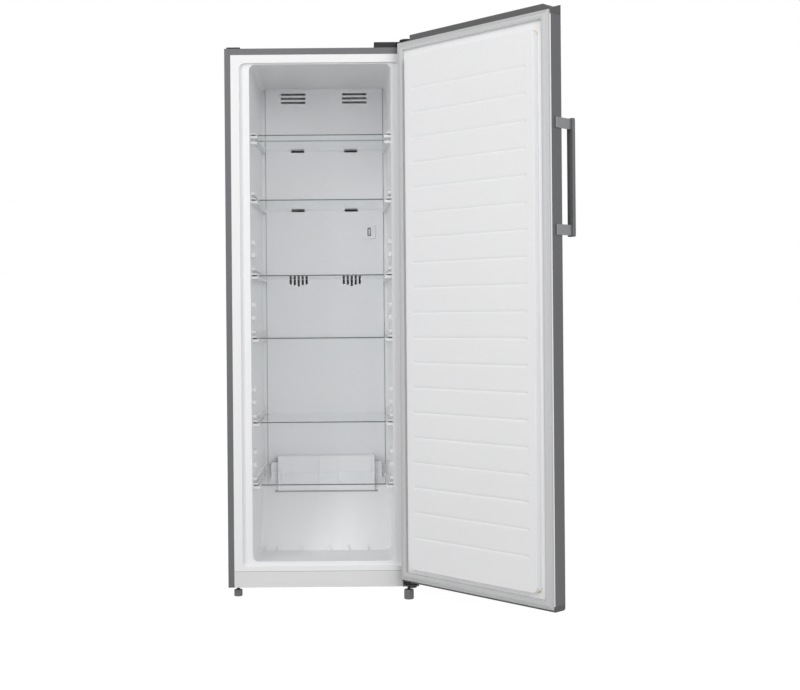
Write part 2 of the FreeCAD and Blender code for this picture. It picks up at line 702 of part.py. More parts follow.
def inner_liner():
    face = box(SIDE_FLANGE - HALF, HALF - SIDE_FLANGE, 0, FACE_BACK, KICK_TOP, CAB_TOP - TOP_FLANGE)
    tuck = box(SHEET - HALF, HALF - SHEET, SHEET, FACE_BACK, KICK_TOP, CAB_TOP - SHEET)
    front = fuse([face, tuck])
    room = space(0)
    shell = front.fuse(space(LINER_T).common(box(-HALF, HALF, 0, CAB_DEPTH, 0, CAB_TOP))).cut(room)
    inside = room.common(box(-HALF, HALF, 0, CAB_DEPTH, 0, CAB_TOP))
    right = fuse(wall_ribs()).common(inside)
    left = mirror(right)
    floor_ribs = []
    for x in HUMP_RIB_X:
        start = HUMP_FOOT_Y - HUMP_RIB_LEAD
        top = FLOOR_AT_FOOT + HUMP_RIB_H
        rib = prism_x([(start, BACK_BOTTOM), (start + HUMP_RIB_RAMP, top), (HUMP_HEAD_Y, top),
                       (HUMP_HEAD_Y, BACK_BOTTOM)], x, x + HUMP_RIB_W)
        floor_ribs.append(rib.common(inside))
    liner = shell.multiFuse([right, left] + floor_ribs)
    return cut(liner, [drain_hole(), suction_hole()])


def kick_panel():
    x1 = HALF - SIDE_FLANGE
    face = box(-x1, x1, 0, SHEET, CAB_BASE, KICK_TOP)
    tuck = box(SHEET - HALF, HALF - SHEET, SHEET, FACE_BACK, CAB_BASE, KICK_TOP)
    bead = bar_x(KICK_BEAD_INSET - HALF, HALF - KICK_BEAD_INSET, KICK_BEAD_R / 2,
                 CAB_BASE + KICK_BEAD_RISE, KICK_BEAD_R)
    bead = bead.common(box(-HALF, HALF, -KICK_BEAD_R, FACE_BACK, 0, CAB_TOP))
    holes = [bar_y(x, -OVER, FACE_BACK + OVER, BOTTOM_SCREW_Z, HINGE_SCREW_R) for x in BOTTOM_SCREW_X]
    clear = box(BRACKET_X0 - FIT, BRACKET_X1, -KICK_BEAD_R - OVER, 0, 0, CAB_TOP)
    return cut(fuse([face, tuck, bead]), holes + [clear])


def corner_cap():
    x0 = CORNER_CAP_SIDE - HALF
    cap = box(x0, x0 + CORNER_CAP_LEN, CORNER_CAP_Y0, CORNER_CAP_Y0 + CORNER_CAP_D,
              CAB_TOP, CAB_TOP + CORNER_CAP_H)
    return cap.makeFillet(CORNER_CAP_ROUND, [e for e in cap.Edges if e.CenterOfMass.z > CAB_TOP + OVER])


# ---- shelves ----

def glass_shelf(z):
    low = z - SHELF_T / 2
    back = COWL_FRONT - SHELF_GAP if z < COWL_TOP else SHELF_BACK
    plate = box(-SHELF_HALF, SHELF_HALF, SHELF_FRONT, back, low, low + SHELF_T)
    plate = plate.makeFillet(SHELF_CORNER, upright_edges(plate))
    return plate


def shelf_rail():
    z = SHELF_Z[0] - RAIL_DROP
    half = SHELF_HALF - RETAINER_REACH
    return box(-half, half, SHELF_FRONT, SHELF_FRONT + RAIL_DEPTH, z - RAIL_H / 2, z + RAIL_H / 2)


# ---- duct and cowl ----

def slot_x(x, z, length):
    return box(x - length / 2, x + length / 2, DUCT_FRONT - OVER, DUCT_FRONT + DUCT_T + OVER,
               z - SLOT_H / 2, z + SLOT_H / 2)


def air_duct_panel():
    back = SPACE_BACK - FIT
    outer = box(-DUCT_HALF, DUCT_HALF, DUCT_FRONT, back, HUMP_TOP + FIT, DUCT_TOP)
    inner = box(DUCT_T - DUCT_HALF, DUCT_HALF - DUCT_T, DUCT_FRONT + DUCT_T, back + OVER,
                HUMP_TOP - OVER, DUCT_TOP - DUCT_T)
    slots = []
    for side in (-1, 1):
        for row in range(3):
            slots.append(slot_x(side * TOP_SLOT_X, TOP_SLOT_Z - row * TOP_SLOT_PITCH, TOP_SLOT_LEN))
        for z, lift in zip(SHELF_Z, MID_SLOT_LIFTS):
            slots.append(slot_x(side * MID_SLOT_X, z + lift, MID_SLOT_LEN))
        top = SHELF_Z[2] - COMB_DROP
        for step, height in enumerate(COMB_SLOT_H):
            x = side * COMB_X + (step - (len(COMB_SLOT_H) - 1) / 2) * COMB_PITCH
            slots.append(box(x - COMB_SLOT_W / 2, x + COMB_SLOT_W / 2, DUCT_FRONT - OVER,
                             DUCT_FRONT + DUCT_T + OVER, top - height, top))
    return cut(outer.cut(inner), slots)


def return_air_cowl():
    back = DUCT_FRONT - FIT
    body = box(-COWL_HALF, COWL_HALF, COWL_FRONT, back, COWL_BOTTOM, COWL_TOP)
    wings = box(-WING_HALF, WING_HALF, WING_FRONT, back, WING_BOTTOM, WING_TOP)
    hollow = box(COWL_T - COWL_HALF, COWL_HALF - COWL_T, COWL_FRONT + COWL_T, back + OVER,
                 COWL_BOTTOM - OVER, COWL_TOP - COWL_T)
    wing_hollow = box(COWL_T - WING_HALF, WING_HALF - COWL_T, WING_FRONT + COWL_T, back + OVER,
                      WING_BOTTOM - OVER, WING_TOP - COWL_T)
    ribs = [box(x, x + COWL_RIB_W, COWL_FRONT - OVER, COWL_FRONT, COWL_BOTTOM, COWL_TOP) for x in COWL_RIB_X]
    shell = fuse([body, wings] + ribs)
    shell = cut(shell, [hollow, wing_hollow])
    wall = hump(-FIT)
    return shell.cut(wall)


def sensor_cover():
    frame = box(SENSOR_X - SENSOR_W / 2, SENSOR_X + SENSOR_W / 2, DUCT_FRONT - SENSOR_T, DUCT_FRONT,
                SENSOR_Z - SENSOR_H / 2, SENSOR_Z + SENSOR_H / 2)
    slot = box(SENSOR_X - SENSOR_SLOT_W / 2, SENSOR_X + SENSOR_SLOT_W / 2, DUCT_FRONT - SENSOR_T - OVER,
               DUCT_FRONT - SENSOR_T / 4, SENSOR_Z - SENSOR_SLOT_H / 2, SENSOR_Z + SENSOR_SLOT_H / 2)
    return frame.cut(slot)


# ---- evaporator, heater, fan ----

def coil_points():
    points = []
    for run in range(COIL_RUNS):
        z = COIL_BOTTOM + run * COIL_PITCH
        ends = [(-COIL_HALF, COIL_Y, z), (COIL_HALF, COIL_Y, z)]
        points += ends if run % 2 == 0 else ends[::-1]
    return points


def evaporator_coil():
    return pipe(coil_points(), COIL_R, COIL_PITCH * COIL_BEND_SHARE)


def coil_holes():
    rows = [COIL_BOTTOM + run * COIL_PITCH for run in range(COIL_RUNS)]
    reach = COIL_HALF + COIL_PITCH
    return [bar_x(-reach, reach, COIL_Y, z, COIL_R + TUBE_FIT) for z in rows]


def fin_pack():
    z0 = COIL_BOTTOM - COIL_PITCH / 2
    z1 = COIL_BOTTOM + (COIL_RUNS - 0.5) * COIL_PITCH
    holes = coil_holes()
    span = COIL_HALF - COIL_PITCH * 0.5
    fins = []
    for number in range(FIN_COUNT):
        x = -span + (number + 1) * 2 * span / (FIN_COUNT + 1)
        fin = box(x, x + FIN_T, COIL_Y - FIN_DEPTH / 2, COIL_Y + FIN_DEPTH / 2, z0, z1)
        fins.append(cut(fin, holes))
    heater = bar_x(-COIL_HALF, COIL_HALF, COIL_Y, COIL_BOTTOM - HEATER_DROP, HEATER_R + TUBE_FIT)
    for side in (-1, 1):
        x = side * span
        plate = box(x, x + END_PLATE_T, COIL_Y - FIN_DEPTH / 2, SPACE_BACK - FIT,
                    COIL_BOTTOM - HEATER_DROP - 2 * HEATER_R, z1)
        fins.append(cut(plate, holes + [heater]))
    return fins


def defrost_heater():
    reach = COIL_HALF - COIL_PITCH * 0.5 + 3 * END_PLATE_T
    return bar_x(-reach, reach, COIL_Y, COIL_BOTTOM - HEATER_DROP, HEATER_R)


def drain_trough():
    y0 = DUCT_FRONT + DUCT_T + TROUGH_MARGIN
    y1 = SPACE_BACK - TROUGH_MARGIN
    z0 = HUMP_TOP + FIT
    outer = box(-TROUGH_HALF, TROUGH_HALF, y0, y1, z0, z0 + TROUGH_H)
    inner = box(TROUGH_T - TROUGH_HALF, TROUGH_HALF - TROUGH_T, y0 + TROUGH_T, y1 - TROUGH_T,
                z0 + TROUGH_T, z0 + TROUGH_H + OVER)
    mouth = post(DRAIN_X, COIL_Y, z0 - OVER, z0 + TROUGH_T + OVER, DRAIN_R - DRAIN_WALL)
    return cut(outer, [inner, mouth, suction_hole()])


def drain_tube():
    low = TRAY_BOTTOM + TRAY_H - DRAIN_DIP
    outer = post(DRAIN_X, COIL_Y, low, HUMP_TOP, DRAIN_R)
    return outer.cut(post(DRAIN_X, COIL_Y, low - OVER, HUMP_TOP + OVER, DRAIN_R - DRAIN_WALL))


def fan_motor():
    back = SPACE_BACK - FIT
    plate = box(-FAN_MOTOR_R - FAN_MOTOR_LUG, FAN_MOTOR_R + FAN_MOTOR_LUG, back - FAN_PLATE_T, back,
                FAN_Z - FAN_MOTOR_R / 2, FAN_Z + FAN_MOTOR_R / 2)
    front = back - FAN_PLATE_T - FAN_MOTOR_L
    can = bar_y(0, front, back - FAN_PLATE_T, FAN_Z, FAN_MOTOR_R)
    shaft = bar_y(0, front - FIT - FAN_HUB_L - OVER, front, FAN_Z, FAN_SHAFT_R)
    return fuse([plate, can, shaft])


def fan_blade():
    back = SPACE_BACK - FIT - FAN_PLATE_T - FAN_MOTOR_L - FIT
    front = back - FAN_HUB_L
    pieces = [bar_y(0, front, back, FAN_Z, FAN_HUB_R)]
    for number in range(FAN_BLADES):
        blade = box(FAN_SHAFT_R, FAN_R, -FAN_BLADE_T / 2, FAN_BLADE_T / 2, -FAN_HUB_L, FAN_HUB_L)
        blade.rotate(V(0, 0, 0), V(1, 0, 0), 90 - FAN_TILT)
        blade.rotate(V(0, 0, 0), V(0, 1, 0), number * 360 / FAN_BLADES)
        blade.translate(V(0, (front + back) / 2, FAN_Z))
        pieces.append(blade)
    whole = fuse(pieces)
    whole = whole.common(bar_y(0, front, back, FAN_Z, FAN_R))
    return whole.cut(bar_y(0, front - OVER, back + OVER, FAN_Z, FAN_SHAFT_R + SHAFT_FIT))


def fan_shroud():
    y0 = DUCT_FRONT + DUCT_T + SHROUD_GAP
    plate = box(-SHROUD_HALF, SHROUD_HALF, y0, y0 + SHROUD_T, FAN_Z - SHROUD_HALF, FAN_Z + SHROUD_HALF)
    plate = plate.cut(bar_y(0, y0 - OVER, y0 + SHROUD_T + OVER, FAN_Z, SHROUD_MOUTH_R))
    posts = []
    inset = SHROUD_HALF - 2 * SHROUD_POST_R
    for x in (-inset, inset):
        for z in (FAN_Z - inset, FAN_Z + inset):
            posts.append(bar_y(x, DUCT_FRONT + DUCT_T, y0, z, SHROUD_POST_R))
    return fuse([plate] + posts)


# ---- compressor bay ----

def compressor_feet():
    spots = []
    for sx in (-1, 1):
        for sy in (-1, 1):
            spots.append((COMP_X + sx * COMP_FOOT_X, COMP_Y + sy * COMP_FOOT_Y))
    return spots


def base_plate():
    x1 = HALF - SHEET - FIT
    back = CAB_DEPTH - COVER_T - FIT
    plate = box(-x1, x1, back - BASE_PLATE_D, back, CAB_BASE, BASE_TOP)
    return cut(plate, [post(x, y, 0, BASE_TOP + OVER, GROMMET_PIN_R) for x, y in compressor_feet()])


def compressor():
    can = post(COMP_X, COMP_Y, COMP_BASE, COMP_BASE + COMP_H, COMP_R)
    can = can.makeFillet(COMP_FILLET, [e for e in can.Edges if abs(e.tangentAt(0).z) < 0.001])
    reach_x = COMP_FOOT_X + GROMMET_R
    reach_y = COMP_FOOT_Y + GROMMET_R
    foot = box(COMP_X - reach_x, COMP_X + reach_x, COMP_Y - reach_y, COMP_Y + reach_y,
               COMP_FOOT_Z, COMP_BASE + COMP_FILLET / 4)
    waist = box(COMP_X - 2 * reach_x, COMP_X + 2 * reach_x, COMP_Y - 2 * reach_y, COMP_Y + 2 * reach_y,
                COMP_BASE, COMP_BASE + COMP_FILLET)
    foot = foot.cut(waist)
    neck = post(COMP_X, COMP_Y, COMP_FOOT_Z, COMP_BASE + COMP_FILLET / 2, COMP_NECK_R)
    whole = fuse([can, neck, foot])
    return cut(whole, [post(x, y, 0, COMP_BASE + OVER, GROMMET_PIN_R) for x, y in compressor_feet()])


def grommets():
    rings = []
    for x, y in compressor_feet():
        body = post(x, y, BASE_TOP, COMP_FOOT_Z, GROMMET_R)
        pin = post(x, y, CAB_BASE, COMP_BASE + COMP_FOOT_T, GROMMET_PIN_R - TUBE_FIT)
        rings.append(fuse([body, pin]))
    return rings


def terminal_cover():
    x1 = COMP_X - COMP_R + TERMINAL_BITE
    z0 = COMP_BASE + TERMINAL_RISE
    cover = box(x1 - TERMINAL_D, x1, COMP_Y - TERMINAL_W / 2, COMP_Y + TERMINAL_W / 2, z0, z0 + TERMINAL_H)
    return cover.cut(post(COMP_X, COMP_Y, COMP_BASE, COMP_BASE + COMP_H, COMP_R + TUBE_FIT))


def evaporation_tray():
    z1 = TRAY_BOTTOM + TRAY_H
    y0 = COMP_Y - TRAY_HALF_D
    y1 = COMP_Y + TRAY_HALF_D
    outer = box(TRAY_X0, TRAY_X1, y0, y1, TRAY_BOTTOM, z1)
    inner = box(TRAY_X0 + TRAY_T, TRAY_X1 - TRAY_T, y0 + TRAY_T, y1 - TRAY_T, TRAY_BOTTOM + TRAY_T, z1 + OVER)
    return cut(outer, [inner, post(SUCTION_X, COIL_Y, 0, CAB_TOP, PIPE_R + FIT)])


def control_box():
    return box(CONTROL_X - CONTROL_W / 2, CONTROL_X + CONTROL_W / 2, COMP_Y - CONTROL_D / 2,
               COMP_Y + CONTROL_D / 2, BASE_TOP, BASE_TOP + CONTROL_H)


def filter_drier():
    z1 = DRIER_Z + DRIER_LEN
    body = post(DRIER_X, COMP_Y, DRIER_Z, z1, DRIER_R)
    low = Part.makeCone(PIPE_R, DRIER_R, DRIER_R, V(DRIER_X, COMP_Y, DRIER_Z - DRIER_R))
    high = Part.makeCone(DRIER_R, PIPE_R, DRIER_R, V(DRIER_X, COMP_Y, z1))
    return fuse([body, low, high])


def refrigerant_pipes():
    """Suction line down to the compressor, and the line from the compressor to the drier."""
    z_in = COMP_BASE + SUCTION_RISE
    end = COMP_X - PIPE_REACH
    suction = pipe([(SUCTION_X, COIL_Y, COIL_BOTTOM - HEATER_DROP - 2 * HEATER_R),
                    (SUCTION_X, COIL_Y, z_in), (end, COIL_Y, z_in)], PIPE_R, PIPE_BEND)
    can = post(COMP_X, COMP_Y, COMP_BASE, COMP_BASE + COMP_H, COMP_R + TUBE_FIT)
    suction = suction.cut(can)
    z_out = COMP_BASE + DISCHARGE_RISE
    y_out = CAB_DEPTH - DISCHARGE_BACK
    z_low = BASE_TOP + LINE_RISE
    line = pipe([(end, y_out, z_out), (LINE_X, y_out, z_out), (LINE_X, y_out, z_low),
                 (DRIER_X, y_out, z_low), (DRIER_X, COMP_Y, z_low), (DRIER_X, COMP_Y, DRIER_Z - DRIER_R)],
                PIPE_R, PIPE_BEND)
    riser = post(DRIER_X, COMP_Y, DRIER_Z + DRIER_LEN + DRIER_R, BAY_TOP, PIPE_R)
    return suction, line.cut(can), riser


def cover_screw_spots():
    x = HALF - COVER_MARGIN - COVER_SCREW_INSET
    low = CAB_BASE + COVER_MARGIN + COVER_SCREW_INSET
    high = BAY_TOP - COVER_MARGIN - COVER_SCREW_INSET
    return [(sx * x, z) for sx in (-1, 1) for z in (low, high)]


def rear_cover():
    x1 = HALF - COVER_MARGIN
    sheet = box(-x1, x1, CAB_DEPTH - COVER_T, CAB_DEPTH, CAB_BASE + COVER_MARGIN, BAY_TOP - SHEET)
    middle = (CAB_BASE + BAY_TOP) / 2
    front = CAB_DEPTH - COVER_T - OVER
    slots = []
    for number in range(COVER_SLOTS):
        x = COMP_X + (number - (COVER_SLOTS - 1) / 2) * COVER_SLOT_PITCH
        slots.append(box(x - COVER_SLOT_W / 2, x + COVER_SLOT_W / 2, front, CAB_DEPTH + OVER,
                         middle - COVER_SLOT_H / 2, middle + COVER_SLOT_H / 2))
    holes = [bar_y(x, front, CAB_DEPTH + OVER, z, SCREW_R) for x, z in cover_screw_spots()]
    gland = bar_y(GLAND_X, front, CAB_DEPTH + OVER, GLAND_Z, GLAND_R)
    return cut(sheet, slots + holes + [gland])


def rear_cover_screws():
    screws = []
    for x, z in cover_screw_spots():
        head = bar_y(x, CAB_DEPTH, CAB_DEPTH + SCREW_HEAD_T, z, SCREW_HEAD_R)
        shank = bar_y(x, CAB_DEPTH - SCREW_LEN, CAB_DEPTH, z, SCREW_R)
        screws.append(fuse([head, shank]))
    return screws


def cord_gland():
    body = bar_y(GLAND_X, CAB_DEPTH - 2 * COVER_T, CAB_DEPTH + GLAND_OUT, GLAND_Z, GLAND_R)
    flange = bar_y(GLAND_X, CAB_DEPTH, CAB_DEPTH + GLAND_FLANGE_T, GLAND_Z, GLAND_FLANGE_R)
    bore = bar_y(GLAND_X, CAB_DEPTH - GLAND_OUT, CAB_DEPTH + GLAND_OUT + OVER, GLAND_Z, GLAND_BORE_R)
    return fuse([body, flange]).cut(bore)


# ---- feet and rollers ----

def foot(x, y, r, height, plate_top):
    disc = post(x, y, 0, height, r)
    flutes = []
    for number in range(FOOT_FLUTES):
        turn = number * 2 * math.pi / FOOT_FLUTES
        flutes.append(post(x + r * math.cos(turn), y + r * math.sin(turn), height * FLUTE_START,
                           height + OVER, FLUTE_R))
    stem = post(x, y, 0, plate_top + STEM_OVER, STEM_R)
    return fuse([cut(disc, flutes), stem])


def roller(side):
    x = side * ROLLER_X
    wheel = bar_x(x - ROLLER_W / 2, x + ROLLER_W / 2, ROLLER_Y, ROLLER_R, ROLLER_R)
    hole = bar_x(x - ROLLER_W, x + ROLLER_W, ROLLER_Y, ROLLER_R, AXLE_R + SHAFT_FIT)
    return wheel.cut(hole)


def roller_bracket(side):
    inner = ROLLER_W / 2 + ROLLER_GAP
    middle = side * ROLLER_X
    cheeks = []
    for x0 in (middle - inner - CHEEK_T, middle + inner):
        cheeks.append(box(x0, x0 + CHEEK_T, ROLLER_Y - CHEEK_HALF, ROLLER_Y + CHEEK_HALF,
                          CHEEK_LOW, CAB_BASE))
    axle = bar_x(middle - inner - CHEEK_T, middle + inner + CHEEK_T, ROLLER_Y, ROLLER_R, AXLE_R)
    return fuse(cheeks + [axle])


# ---- hinges ----

def top_hinge_bracket():
    y1 = HINGE_COVER_Y0 + HINGE_COVER_T + TOP_PLATE_DEPTH
    y0 = HINGE_COVER_Y0 + HINGE_COVER_T + FIT
    x1 = HINGE_COVER_X1 - HINGE_COVER_T - FIT
    base = box(TOP_PLATE_X0, x1, y0 + PLATE_T, y1, CAB_TOP, CAB_TOP + PLATE_T)
    riser = box(PIN_X - ARM_HALF, PIN_X + ARM_HALF, y0, y0 + PLATE_T, CAB_TOP, ARM_TOP_Z + PLATE_T)
    arm = box(PIN_X - ARM_HALF, PIN_X + ARM_HALF, PIN_Y, y0 + PLATE_T, ARM_TOP_Z, ARM_TOP_Z + PLATE_T)
    tip = post(PIN_X, PIN_Y, ARM_TOP_Z, ARM_TOP_Z + PLATE_T, ARM_HALF)
    top = CAB_TOP + PLATE_T + OVER
    holes = [post(x, TOP_SCREW_Y, CAB_TOP - OVER, top, HINGE_SCREW_R) for x in TOP_SCREW_X]
    holes.append(post(PIN_X, PIN_Y, ARM_TOP_Z - OVER, ARM_TOP_Z + PLATE_T + OVER, PIN_R))
    return cut(fuse([base, riser, arm, tip]), holes)


def cover_body(inset):
    """The hinge cover's outline, filled; inset gives the hollow under it."""
    x1 = HINGE_COVER_X1 - inset
    y1 = HINGE_COVER_Y1 - inset
    main = box(HINGE_COVER_X0 + inset, x1, HINGE_COVER_Y0 + inset, y1, CAB_TOP - inset,
               CAB_TOP + HINGE_COVER_H - inset)
    low = DOOR_TOP + NOSE_LIFT - inset
    high = NOSE_TOP - inset
    nose = box(NOSE_X0 + inset, x1, NOSE_FRONT_Y + inset, y1, low, high)
    tongue = box(TONGUE_X0 + inset, x1, PIN_Y, y1, low, high)
    half = (x1 - TONGUE_X0 - inset) / 2
    tip = post(x1 - half, PIN_Y, low, high, half)
    return fuse([main, nose, tongue, tip])


def top_hinge_cover():
    return cover_body(0).cut(cover_body(HINGE_COVER_T))


def hinge_screw(start, direction):
    along = V(*direction)
    base = V(*start)
    head = Part.makeCylinder(HINGE_SCREW_HEAD_R, HINGE_SCREW_HEAD_T, base, along)
    shank = Part.makeCylinder(HINGE_SCREW_R, HINGE_SCREW_LEN, base, along * -1)
    return fuse([head, shank])


def hinge_screws():
    screws = [hinge_screw((x, TOP_SCREW_Y, CAB_TOP + PLATE_T), (0, 0, 1)) for x in TOP_SCREW_X]
    for x in BOTTOM_SCREW_X:
        screws.append(hinge_screw((x, -PLATE_T, BOTTOM_SCREW_Z), (0, -1, 0)))
    return screws


def bottom_hinge_bracket():
    arm = box(BRACKET_X0, BRACKET_X1, BRACKET_FRONT, 0, ARM_Z, ARM_Z + PLATE_T)
    front = [e for e in upright_edges(arm) if e.CenterOfMass.y < BRACKET_FRONT + OVER]
    arm = arm.makeFillet(BRACKET_CORNER, front)
    leg = box(BRACKET_X0, BRACKET_X1, -PLATE_T, 0, CAB_BASE, CAB_BASE + BRACKET_H)
    boss = post(PIN_X, PIN_Y, ARM_Z - PIN_BOSS_H, ARM_Z + OVER, PIN_BOSS_R)
    holes = [bar_y(x, -PLATE_T - OVER, 1, BOTTOM_SCREW_Z, HINGE_SCREW_R) for x in BOTTOM_SCREW_X]
    low = ARM_Z - PIN_BOSS_H - OVER
    high = ARM_Z + PLATE_T + OVER
    holes.append(post(RIGHT_FOOT_X, RIGHT_FOOT_Y, low, high, STEM_R + STEM_FIT))
    holes.append(post(PIN_X, PIN_Y, ARM_Z, high, PIN_R))
    return cut(fuse([arm, leg, boss]), holes)


def hinge_pins():
    top = post(PIN_X, PIN_Y, ARM_TOP_Z - TOP_PIN_L, ARM_TOP_Z + PLATE_T, PIN_R)
    shank = post(PIN_X, PIN_Y, ARM_Z, DOOR_BOTTOM + BUSH_L - OVER, PIN_R)
    collar = post(PIN_X, PIN_Y, ARM_Z + PLATE_T, DOOR_BOTTOM - BUSH_FLANGE_T - FIT, COLLAR_R)
    return top, fuse([shank, collar])


# ---- door, made closed ----

def door_x(a):
    """Place across the door, from its hinge edge towards its free edge."""
    return DOOR_HALF - a


def door_skin():
    outer = box(-DOOR_HALF, DOOR_HALF, DOOR_FRONT, DOOR_IN, SKIN_BOTTOM, SKIN_TOP)
    inner = box(DOOR_SHEET - DOOR_HALF, DOOR_HALF - DOOR_SHEET, DOOR_FRONT + DOOR_SHEET, DOOR_IN + OVER,
                SKIN_BOTTOM - OVER, SKIN_TOP + OVER)
    return outer.cut(inner)


def groove_tools(grow):
    y = DOOR_IN + PLATEAU_RISE - GROOVE_DEPTH + GROOVE_R
    zs = [GROOVE_TOP - k * GROOVE_PITCH for k in range(GROOVES)]
    return [bar_x(-GROOVE_HALF - grow, GROOVE_HALF + grow, y, z, GROOVE_R + grow) for z in zs]


def plateau(shrink):
    """The raised middle of the door's inner face."""
    foot = rounded_wire(shrink - PLATEAU_HALF - PLATEAU_TAPER, PLATEAU_HALF + PLATEAU_TAPER - shrink,
                        PLATEAU_BOTTOM - PLATEAU_TAPER + shrink, PLATEAU_TOP + PLATEAU_TAPER - shrink,
                        PLATEAU_CORNER, DOOR_IN - LINER_T)
    head = rounded_wire(shrink - PLATEAU_HALF, PLATEAU_HALF - shrink, PLATEAU_BOTTOM + shrink,
                        PLATEAU_TOP - shrink, PLATEAU_CORNER, DOOR_IN + PLATEAU_RISE - shrink)
    raised = Part.makeLoft([foot, head], True, True)
    return cut(raised, groove_tools(shrink))


def door_liner():
    x1 = DOOR_HALF - DOOR_SHEET
    frame = box(-x1, x1, DOOR_IN - LINER_T, DOOR_IN, SKIN_BOTTOM, SKIN_TOP)
    return frame.fuse(plateau(0)).cut(plateau(LINER_T)).removeSplitter()


def door_foam():
    x1 = DOOR_HALF - DOOR_SHEET
    block = box(-x1, x1, DOOR_FRONT + DOOR_SHEET, DOOR_IN - LINER_T, SKIN_BOTTOM, SKIN_TOP)
    return block.fuse(plateau(LINER_T)).removeSplitter()


def door_top_cap():
    base = box(-DOOR_HALF, DOOR_HALF, DOOR_FRONT, DOOR_IN, SKIN_TOP, DOOR_TOP)
    x0 = -DOOR_HALF + RIDGE_END
    bend_x = x0 + RIDGE_END_R
    bend_z = RIDGE_TOP - RIDGE_END_R
    back = DOOR_IN - RIDGE_BACK
    ridge = prism_x([(DOOR_FRONT, DOOR_TOP - OVER), (DOOR_FRONT, RIDGE_TOP - RIDGE_EDGE),
                     (DOOR_FRONT + RIDGE_EDGE, RIDGE_TOP), (back - RIDGE_EDGE, RIDGE_TOP),
                     (back, RIDGE_TOP - RIDGE_EDGE), (back, DOOR_TOP - OVER)], x0, door_x(RIDGE_START))
    y0 = DOOR_FRONT - OVER
    corner = box(x0 - OVER, bend_x, y0, DOOR_IN, bend_z, RIDGE_TOP + OVER)
    ridge = ridge.cut(corner.cut(bar_y(bend_x, y0 - OVER, DOOR_IN + OVER, bend_z, RIDGE_END_R)))
    end = prism_x([(DOOR_FRONT, DOOR_TOP - OVER), (DOOR_FRONT, RIDGE_TOP - RIDGE_END_DROP),
                   (back, DOOR_TOP), (back, DOOR_TOP - OVER)], -DOOR_HALF, bend_x)
    seat = post(PIN_X, PIN_Y, DOOR_TOP - BUSH_L, DOOR_TOP + OVER, BUSH_R)
    return fuse([base, ridge, end]).cut(seat)


def door_bottom_cap():
    cap = box(-DOOR_HALF, DOOR_HALF, DOOR_FRONT, DOOR_IN, DOOR_BOTTOM, SKIN_BOTTOM)
    low = [e for e in cap.Edges if e.CenterOfMass.z < DOOR_BOTTOM + 0.1]
    cap = cap.makeFillet(BOTTOM_ROUND, [e for e in low if e.CenterOfMass.y < DOOR_FRONT + 0.1])
    return cap.cut(post(PIN_X, PIN_Y, DOOR_BOTTOM - OVER, DOOR_BOTTOM + BUSH_L, BUSH_R))


def bush(z, up):
    """A flanged bush pushed into an end cap; up is the way its flange faces."""
    deep = z - up * BUSH_L
    out = z + up * BUSH_FLANGE_T
    body = post(PIN_X, PIN_Y, min(z, deep), max(z, deep), BUSH_R)
    flange = post(PIN_X, PIN_Y, min(z, out), max(z, out), BUSH_FLANGE_R)
    bore = post(PIN_X, PIN_Y, min(deep, out) - OVER, max(deep, out) + OVER, PIN_R + PIN_FIT)
    return fuse([body, flange]).cut(bore)


def door_gasket():
    x1 = DOOR_HALF - GASKET_INSET
    outer = rounded_block(-x1, x1, GASKET_BOTTOM, GASKET_TOP, GASKET_CORNER, DOOR_IN, -GASKET_SEAT)
    inner = rounded_block(GASKET_W - x1, x1 - GASKET_W, GASKET_BOTTOM + GASKET_W, GASKET_TOP - GASKET_W,
                          GASKET_CORNER, DOOR_IN - OVER, OVER)
    swing = -PIN_Y - GASKET_SEAT
    beyond = box(PIN_X, HALF + OVER, DOOR_IN - OVER, OVER, 0, DOOR_TOP)
    relief = beyond.cut(post(PIN_X, PIN_Y, 0, DOOR_TOP, swing))
    return cut(outer, [inner, relief])


def door_stop():
    x1 = door_x(STOP_START)
    y1 = DOOR_IN - STOP_IN
    block = box(x1 - STOP_LEN, x1, y1 - STOP_W, y1, DOOR_BOTTOM - STOP_H, DOOR_BOTTOM)
    return block.makeFillet(STOP_CORNER, upright_edges(block))


def handle_bar():
    y1 = DOOR_FRONT - HANDLE_GAP
    x0 = -DOOR_HALF - HANDLE_BAR_OUT
    bar = box(x0, x0 + HANDLE_BAR_W, y1 - HANDLE_BAR_T, y1, HANDLE_BOTTOM, HANDLE_BOTTOM + HANDLE_LEN)
    front = [e for e in bar.Edges if e.CenterOfMass.y < y1 - HANDLE_BAR_T + 0.1]
    return bar.makeFillet(HANDLE_ROUND, front)


def handle_brackets():
    y0 = DOOR_FRONT - HANDLE_GAP
    y1 = DOOR_FRONT + LUG_BACK
    low = HANDLE_BOTTOM + LUG_MARGIN
    high = HANDLE_BOTTOM + HANDLE_LEN - LUG_MARGIN - LUG_H
    return [box(-DOOR_HALF - LUG_T, -DOOR_HALF, y0, y1, z, z + LUG_H) for z in (low, high)]


os.makedirs("parts", exist_ok=True)

right_panel = side_panel()
save("right_side_panel", right_panel)
save("left_side_panel", mirror(right_panel))
save("top_panel", top_panel())
save("back_panel", back_panel())
save("bottom_panel", bottom_panel())
save("front_rail", front_rail())
save("cabinet_foam", cabinet_foam())
save("inner_liner", inner_liner())
save("kick_panel", kick_panel())
save("corner_cap", corner_cap())
save("air_duct_panel", air_duct_panel())
save("return_air_cowl", return_air_cowl())
save("sensor_cover", sensor_cover())
save("evaporator_coil", evaporator_coil())
save("evaporator_fins", *fin_pack())
save("defrost_heater", defrost_heater())
save("drain_trough", drain_trough())
save("drain_tube", drain_tube())
save("fan_motor", fan_motor())
save("fan_blade", fan_blade())
save("fan_shroud", fan_shroud())
save("side_condenser", condenser(-1, CONDENSER_R), condenser(1, CONDENSER_R))
save("base_plate", base_plate())
save("compressor", compressor())
save("compressor_grommets", *grommets())
save("terminal_cover", terminal_cover())
save("evaporation_tray", evaporation_tray())
save("control_box", control_box())
save("filter_drier", filter_drier())
